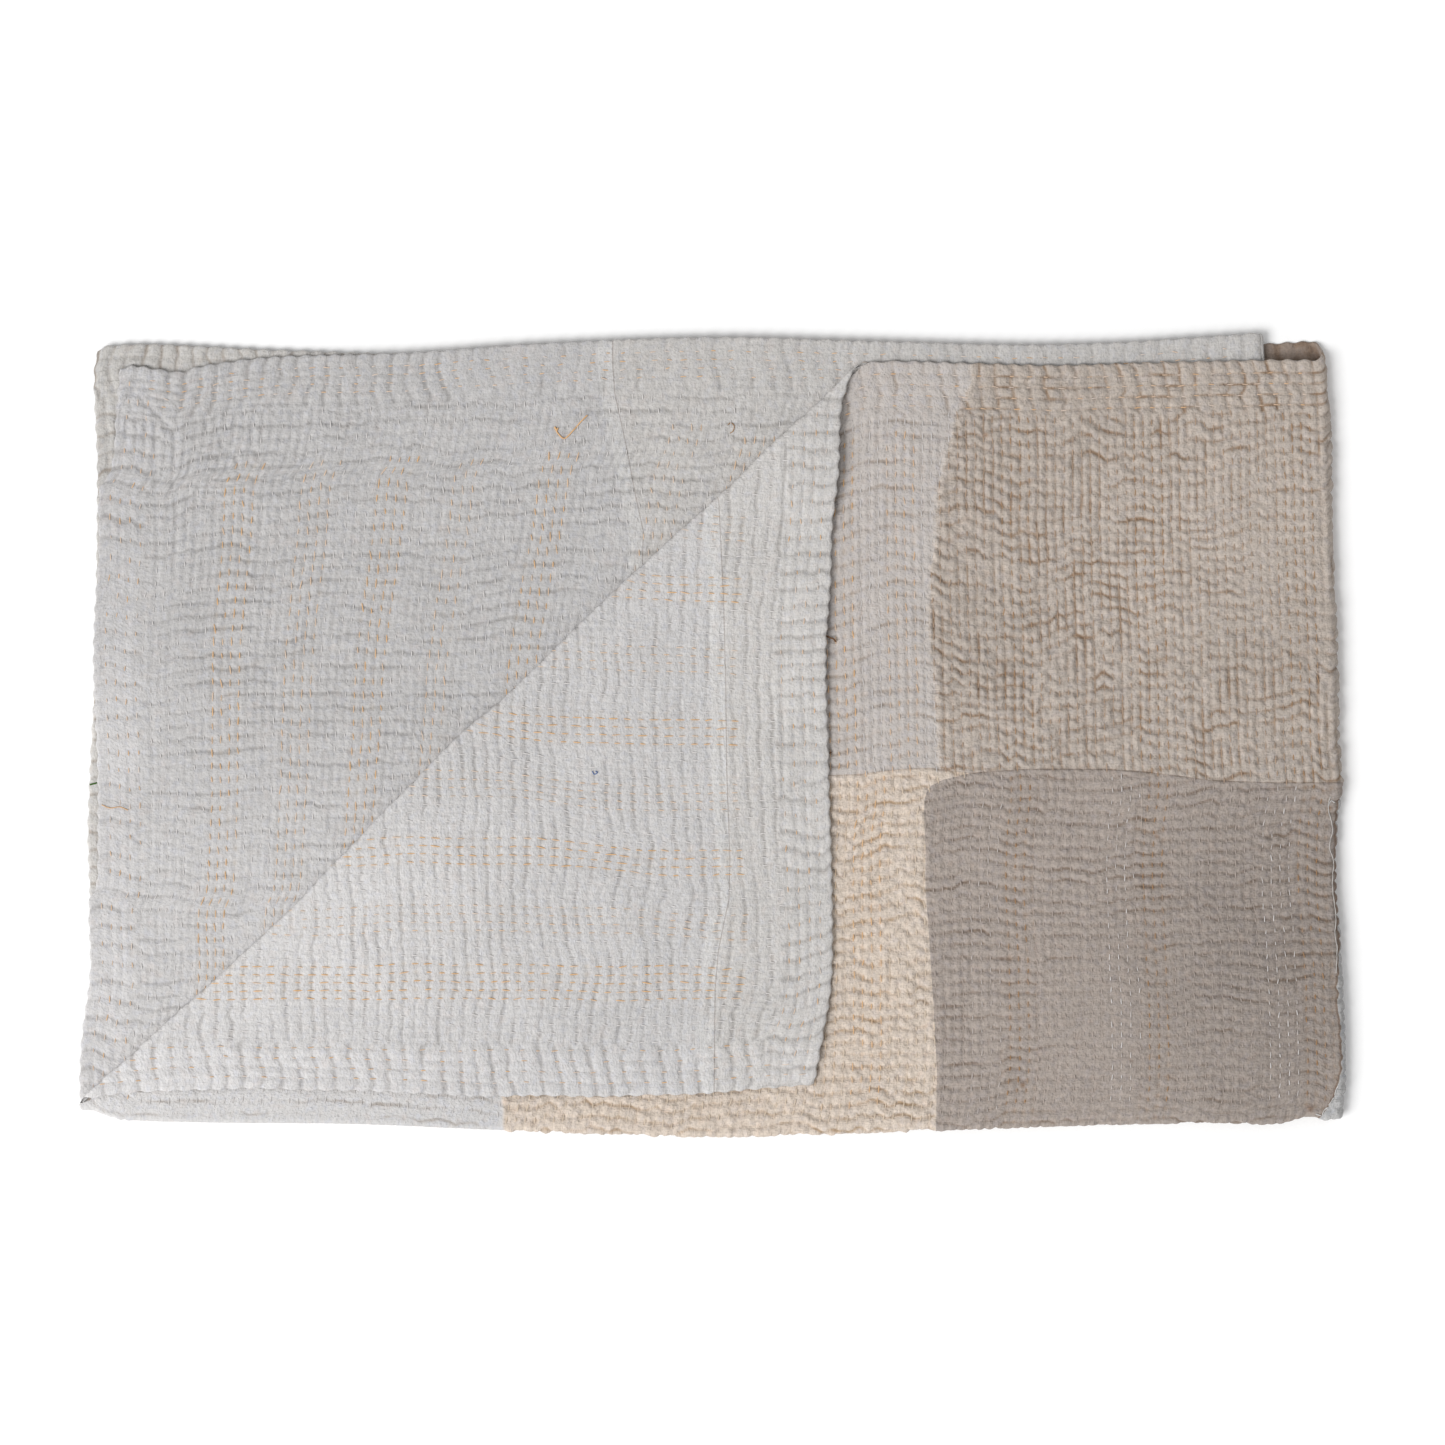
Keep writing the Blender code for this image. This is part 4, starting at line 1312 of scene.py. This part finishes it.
class Look:
    """A procedural material, put together node by node."""

    def __init__(self, name):
        self.material = bpy.data.materials.new(name)
        self.material.use_nodes = True
        self.tree = self.material.node_tree
        self.shader = self.tree.nodes["Principled BSDF"]
        self.shader.inputs["Roughness"].default_value = 0.92
        self.shader.inputs["Specular IOR Level"].default_value = 0.15
        self.cloth = self.read("cloth", "Vector")

    def node(self, kind, settings=None, **inputs):
        made = self.tree.nodes.new(kind)
        for key, value in (settings or {}).items():
            setattr(made, key, value)
        for key, value in inputs.items():
            self.put(made.inputs[key.replace("_", " ")], value)
        return made

    def put(self, socket, value):
        if isinstance(value, bpy.types.NodeSocket):
            self.tree.links.new(value, socket)
        else:
            socket.default_value = value

    def read(self, name, output="Fac"):
        return self.node("ShaderNodeAttribute", {"attribute_name": name}).outputs[output]

    def sum(self, operation, first, second=0.0, third=0.0):
        made = self.node("ShaderNodeMath", {"operation": operation})
        for socket, value in zip(made.inputs, (first, second, third)):
            self.put(socket, value)
        return made.outputs[0]

    def noise(self, cell, stretch=(1.0, 1.0, 1.0), detail=2.0, roughness=0.5):
        """Noise from about 0 to 1, with cells of a size in metres."""
        scaled = self.node("ShaderNodeVectorMath", {"operation": "MULTIPLY"})
        self.put(scaled.inputs[0], self.cloth)
        self.put(scaled.inputs[1], tuple(part / cell for part in stretch))
        made = self.node("ShaderNodeTexNoise", Scale=1.0, Detail=detail, Roughness=roughness)
        self.put(made.inputs["Vector"], scaled.outputs[0])
        return made.outputs["Fac"]

    def ramp(self, value, low, high, to_low=0.0, to_high=1.0):
        """A number run from one range to another, smoothly and within its ends."""
        made = self.node("ShaderNodeMapRange", {"interpolation_type": "SMOOTHSTEP"})
        for socket, number in zip(made.inputs, (value, low, high, to_low, to_high)):
            self.put(socket, number)
        return made.outputs[0]

    def band(self, name, low, high, to_low=0.0, to_high=1.0):
        """An attribute run from one range to another."""
        return self.ramp(self.read(name), low, high, to_low, to_high)

    def mix(self, share, low, high, blend="MIX"):
        made = self.node("ShaderNodeMix", {"data_type": "RGBA", "blend_type": blend})
        colours = [socket for socket in made.inputs if socket.type == "RGBA"]
        self.put(made.inputs[0], share)
        self.put(colours[0], low)
        self.put(colours[1], high)
        return next(socket for socket in made.outputs if socket.type == "RGBA")

    def shaded(self, share, colour, by):
        """A colour multiplied by another, where a share is 1."""
        return self.mix(share, colour, (*by, 1.0), "MULTIPLY")

    def bump(self, height, distance, strength=1.0, under=None):
        made = self.node("ShaderNodeBump", Height=height, Distance=distance, Strength=strength)
        if under is not None:
            self.put(made.inputs["Normal"], under)
        return made.outputs[0]

    def weave(self):
        """Uneven yarns both ways, as a height from about 0 to 1."""
        down = self.noise(YARN, (1.0, YARN_STRETCH, 1.0))
        across = self.noise(YARN, (YARN_STRETCH, 1.0, 1.0))
        return self.sum("MULTIPLY", self.sum("ADD", down, across), 0.5)

    def line(self, name, half_width, strength):
        """How strongly a place lies on a thin line where an attribute is 0."""
        distance = self.sum("ABSOLUTE", self.read(name))
        return self.ramp(distance, half_width, 0.3 * half_width, 0.0, strength)

    def tinted(self, colour, tint=(0.98, 0.84, 0.66), strength=0.4):
        """The cloth takes on some of the dye around its dyed stitches."""
        return self.shaded(self.sum("MULTIPLY", self.read("tint"), strength), colour, tint)

    def finish(self, colour, wear=0.5, grain=1.0, flecks_and_crinkle_shade=1.0):
        """Adds the yarns' own light and dark, cool and warm spots, painted light and shade of small crinkles
        and of broad places, and their relief.
        """
        weave = self.weave()
        fine = self.noise(2.4 * MM, detail=3.0, roughness=0.6)
        crinkle = self.noise(5.0 * MM, (1.0, 1.2, 1.0), 3.0, 0.6)
        wide = self.noise(45 * MM, detail=3.0)
        cool = self.noise(6 * MM)
        warm = self.noise(9 * MM)
        colour = self.shaded(self.ramp(cool, 0.45, 0.75, 0.0, wear), colour, (0.93, 0.96, 1.04))
        colour = self.shaded(self.ramp(warm, 0.50, 0.80, 0.0, wear), colour, (1.02, 0.96, 0.93))
        light = self.ramp(weave, 0.3, 0.7, -0.10, 0.10)
        light = self.sum("ADD", light, self.ramp(fine, 0.3, 0.7, -0.07, 0.07))
        # Painted highlights and shade of the small crinkles, besides their bump.
        light = self.sum("ADD", light, self.ramp(crinkle, 0.3, 0.7, -0.05, 0.05))
        # Scales the yarns' speckle and the crinkles' painted shade together.
        light = self.sum("MULTIPLY", light, flecks_and_crinkle_shade)
        light = self.sum("ADD", light, self.ramp(wide, 0.3, 0.7, -0.03, 0.03))
        # Adds the broad painted light and shade, with the cloth's own uneven colour.
        light = self.sum("ADD", light, self.read("tone_and_painted_light"))
        light = self.sum("ADD", light, 1.0)
        grey = self.node("ShaderNodeCombineColor", Red=light, Green=light, Blue=light).outputs[0]
        self.put(self.shader.inputs["Base Color"], self.mix(1.0, colour, grey, "MULTIPLY"))
        self.put(self.shader.inputs["Roughness"], self.ramp(fine, 0.2, 0.8, 0.84, 0.97))
        bumped = self.bump(weave, 0.4 * grain * MM, 0.8)
        bumped = self.bump(fine, 1.3 * grain * MM, 0.8, bumped)
        bumped = self.bump(crinkle, 2.0 * grain * MM, 0.6, bumped)
        self.put(self.shader.inputs["Normal"], bumped)
        return self.material


def plain_cotton(name, main, strip, beyond, hem_light):
    """The plain back: one cotton left of its seam with a faded strip, another right of it."""
    look = Look(name)
    to_strip = look.band("past_seam", -FADED_STRIP - 0.6, -FADED_STRIP + 0.6)
    colour = look.mix(to_strip, albedo(main), albedo(strip))
    colour = look.mix(look.band("past_seam", -0.4, 0.4), colour, albedo(beyond))
    # Painted shade, with some grime, darkens the troughs.
    colour = look.shaded(look.band("trough", 0.12, 0.85, 0.0, 0.75), colour, (0.70, 0.69, 0.68))
    colour = look.shaded(look.line("past_seam", 0.8, 0.8), colour, (0.62, 0.58, 0.56))
    colour = look.tinted(colour)
    from_side = look.node("ShaderNodeSeparateXYZ", Vector=look.cloth).outputs["X"]
    near_hem = look.ramp(from_side, 44 * MM, 40 * MM)
    colour = look.shaded(look.sum("MULTIPLY", near_hem, hem_light), colour, (1.06, 1.06, 1.065))
    return look.finish(colour)


def patchwork():
    """The front: five worn cottons that meet at the seams, darker down in the troughs with stains and painted
    shade.
    """
    look = Look("patchwork")
    blotch = look.noise(22 * MM, detail=3.0)
    # Troughs darken in blotches: partly stains, partly painted shade in the puckers' hollows.
    trough_stains_and_shade = look.sum("MULTIPLY", look.band("trough", 0.2, 0.95), look.ramp(blotch, 0.42, 0.62, 0.25, 1.0))

    def cotton(colour, dirt_and_shade):
        return look.mix(trough_stains_and_shade, albedo(colour), albedo(dirt_and_shade))

    # Each cotton's own colour, then its colour down in the troughs, with grime and painted shade.
    grey = cotton((200, 193, 188), (172, 160, 150))
    beige = cotton((191, 180, 170), (152, 128, 106))
    cream = cotton((218, 204, 190), (182, 158, 132))
    worn = cotton((210, 208, 207), (178, 171, 165))
    taupe = cotton((174, 163, 155), (140, 124, 111))
    above = look.mix(look.band("to_beige", -0.5, 0.5), grey, beige)
    fibres = look.ramp(look.noise(1.5 * MM, (0.4, 1.0, 1.0)), 0.4, 0.6)
    frayed = look.sum("MULTIPLY", look.line("to_beige", 4.5, 0.7), fibres)
    above = look.mix(frayed, above, albedo((210, 200, 191)))
    is_cream = look.band("to_cream", -2.0, 2.0)
    under = look.mix(is_cream, worn, cream)
    under = look.mix(look.band("to_taupe", -0.4, 0.4), under, taupe)
    colour = look.mix(look.band("to_low", -0.4, 0.4), above, under)
    # Painted shade in the narrow gap along the middle seam.
    colour = look.shaded(look.line("to_low", 0.7, 0.45), colour, (0.62, 0.54, 0.48))
    colour = look.tinted(colour, (0.97, 0.80, 0.62), 0.6)
    colour = look.shaded(look.read("spot"), colour, (0.62, 0.44, 0.30))
    colour = look.mix(look.band("to_rim", -0.3, 0.3), colour, albedo((202, 201, 200)))
    # Painted shadow, brown, along the cloth just inside the rim's edge.
    shade = look.sum("MULTIPLY", look.band("to_rim", -2.6, -0.3), look.band("to_rim", 0.6, 0.0))
    colour = look.shaded(look.sum("MULTIPLY", shade, 0.75), colour, (0.55, 0.42, 0.32))
    rougher = look.sum("MAXIMUM", look.band("to_beige", -1.0, 1.0), look.band("to_low", -1.0, 1.0))
    rougher = look.sum("MULTIPLY", rougher, is_cream)
    return look.finish(colour, 0.6, 1.3, look.sum("MULTIPLY_ADD", rougher, 0.7, 0.6))


def strip_cotton():
    """The edges of the layers that only show as narrow strips."""
    look = Look("strip_cotton")
    # Painted shade, with some grime, darkens the troughs.
    trough = look.band("trough", 0.2, 0.95, 0.0, 0.7)
    return look.finish(look.mix(trough, albedo((200, 197, 193)), albedo((152, 140, 128))))


def painted_shade_cotton():
    """The back of the base layer at the upper right: pale cotton painted dark brown in blotches, as painted
    shade of the deep recess it lies in.
    """
    look = Look("painted_shade_cotton")
    blotch = look.ramp(look.noise(14 * MM, detail=3.0), 0.35, 0.65)
    return look.finish(look.mix(blotch, albedo((158, 143, 132)), albedo((140, 120, 104))))


def core_cotton():
    """The cloth where it shows past the skins: patched on its front, plain on its back."""
    look = Look("core_cotton")
    patch = look.ramp(look.noise(220 * MM, detail=0.0), 0.47, 0.53)
    worn = look.mix(patch, albedo((181, 170, 161)), albedo((192, 187, 182)))
    colour = look.mix(look.read("is_front"), albedo((190, 187, 184)), worn)
    return look.finish(colour)


def thread_cotton():
    look = Look("stitching")
    fibre = look.ramp(look.node("ShaderNodeTexNoise", Scale=900.0).outputs["Fac"], 0.3, 0.7, 0.86, 1.08)
    grey = look.node("ShaderNodeCombineColor", Red=fibre, Green=fibre, Blue=fibre).outputs[0]
    colour = look.mix(1.0, look.read("dye", "Color"), grey, "MULTIPLY")
    look.put(look.shader.inputs["Base Color"], colour)
    return look.material


# Stage: a white floor, an even sky and one soft lamp from the lower left.
FLOOR_SIZE = 40.0
SKY_STRENGTH = 0.52
KEY_POWER = 1765.0
KEY_AT = (-8.1, -4.9, 10.5)
KEY_SIZE = 8.0
CAMERA_AT = (9 * MM, 10 * MM, 4.0)
FRAME_WIDTH = 1.373
SENSOR_WIDTH = 36.0


def make_floor():
    bpy.ops.mesh.primitive_plane_add(size=FLOOR_SIZE, location=(0, 0, 0))
    floor = bpy.context.active_object
    floor.name = "floor"
    material = bpy.data.materials.new("floor_paper")
    material.use_nodes = True
    shader = material.node_tree.nodes["Principled BSDF"]
    shader.inputs["Base Color"].default_value = (0.97, 0.97, 0.97, 1.0)
    shader.inputs["Roughness"].default_value = 1.0
    shader.inputs["Specular IOR Level"].default_value = 0.0
    floor.data.materials.append(material)
    return floor


def make_light():
    world = bpy.data.worlds.new("studio")
    world.use_nodes = True
    world.node_tree.nodes["Background"].inputs["Color"].default_value = (1.0, 1.0, 1.0, 1.0)
    world.node_tree.nodes["Background"].inputs["Strength"].default_value = SKY_STRENGTH
    bpy.context.scene.world = world
    lamp = bpy.data.lights.new("window", "AREA")
    lamp.energy = KEY_POWER
    lamp.size = KEY_SIZE
    window = bpy.data.objects.new("window", lamp)
    window.location = KEY_AT
    window.rotation_euler = Vector(KEY_AT).to_track_quat("Z", "Y").to_euler()
    bpy.context.collection.objects.link(window)


def make_camera():
    lens = bpy.data.cameras.new("camera")
    lens.sensor_width = SENSOR_WIDTH
    lens.lens = lens.sensor_width * CAMERA_AT[2] / FRAME_WIDTH
    lens.clip_end = 100.0
    camera = bpy.data.objects.new("camera", lens)
    camera.location = CAMERA_AT
    bpy.context.collection.objects.link(camera)
    bpy.context.scene.camera = camera


def make_cloth():
    """Every piece of the quilt, each with its material."""
    looks = {
        "patchwork": patchwork(),
        "flap": plain_cotton("flap_cotton", (205, 203, 202), (212, 210, 208), (206, 203, 200), 1.0),
        "upper": plain_cotton("upper_cotton", (195, 193, 192), (204, 202, 200), (199, 196, 193), 0.9),
        "strip": strip_cotton(),
        "shaded": painted_shade_cotton(),
        "core": core_cotton(),
        "thread": thread_cotton(),
    }
    core = make_core()
    dressed = [(core, "core")]
    dressed += [(piece, "patchwork") for piece in split_front()]
    dressed.append((add_skin("flap_back", flap, shows_flap), "flap"))
    dressed.append((add_skin("upper_back", upper, shows_upper, steps=UPPER_STEPS), "upper"))
    dressed.append((add_skin("lower_strip", lower, shows_lower), "strip"))
    dressed.append((add_skin("base_strip", base, shows_base, BASE_SHOWN, (0, STRIP_WIDTH)), "shaded"))
    dressed += [(piece, "thread") for piece in sew_all()]
    for piece, look in dressed:
        piece.data.materials.append(looks[look])
        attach(piece, "root")
    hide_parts("quilt")


make_cloth()
make_floor()
make_light()
make_camera()
bpy.context.scene.view_settings.view_transform = "Standard"
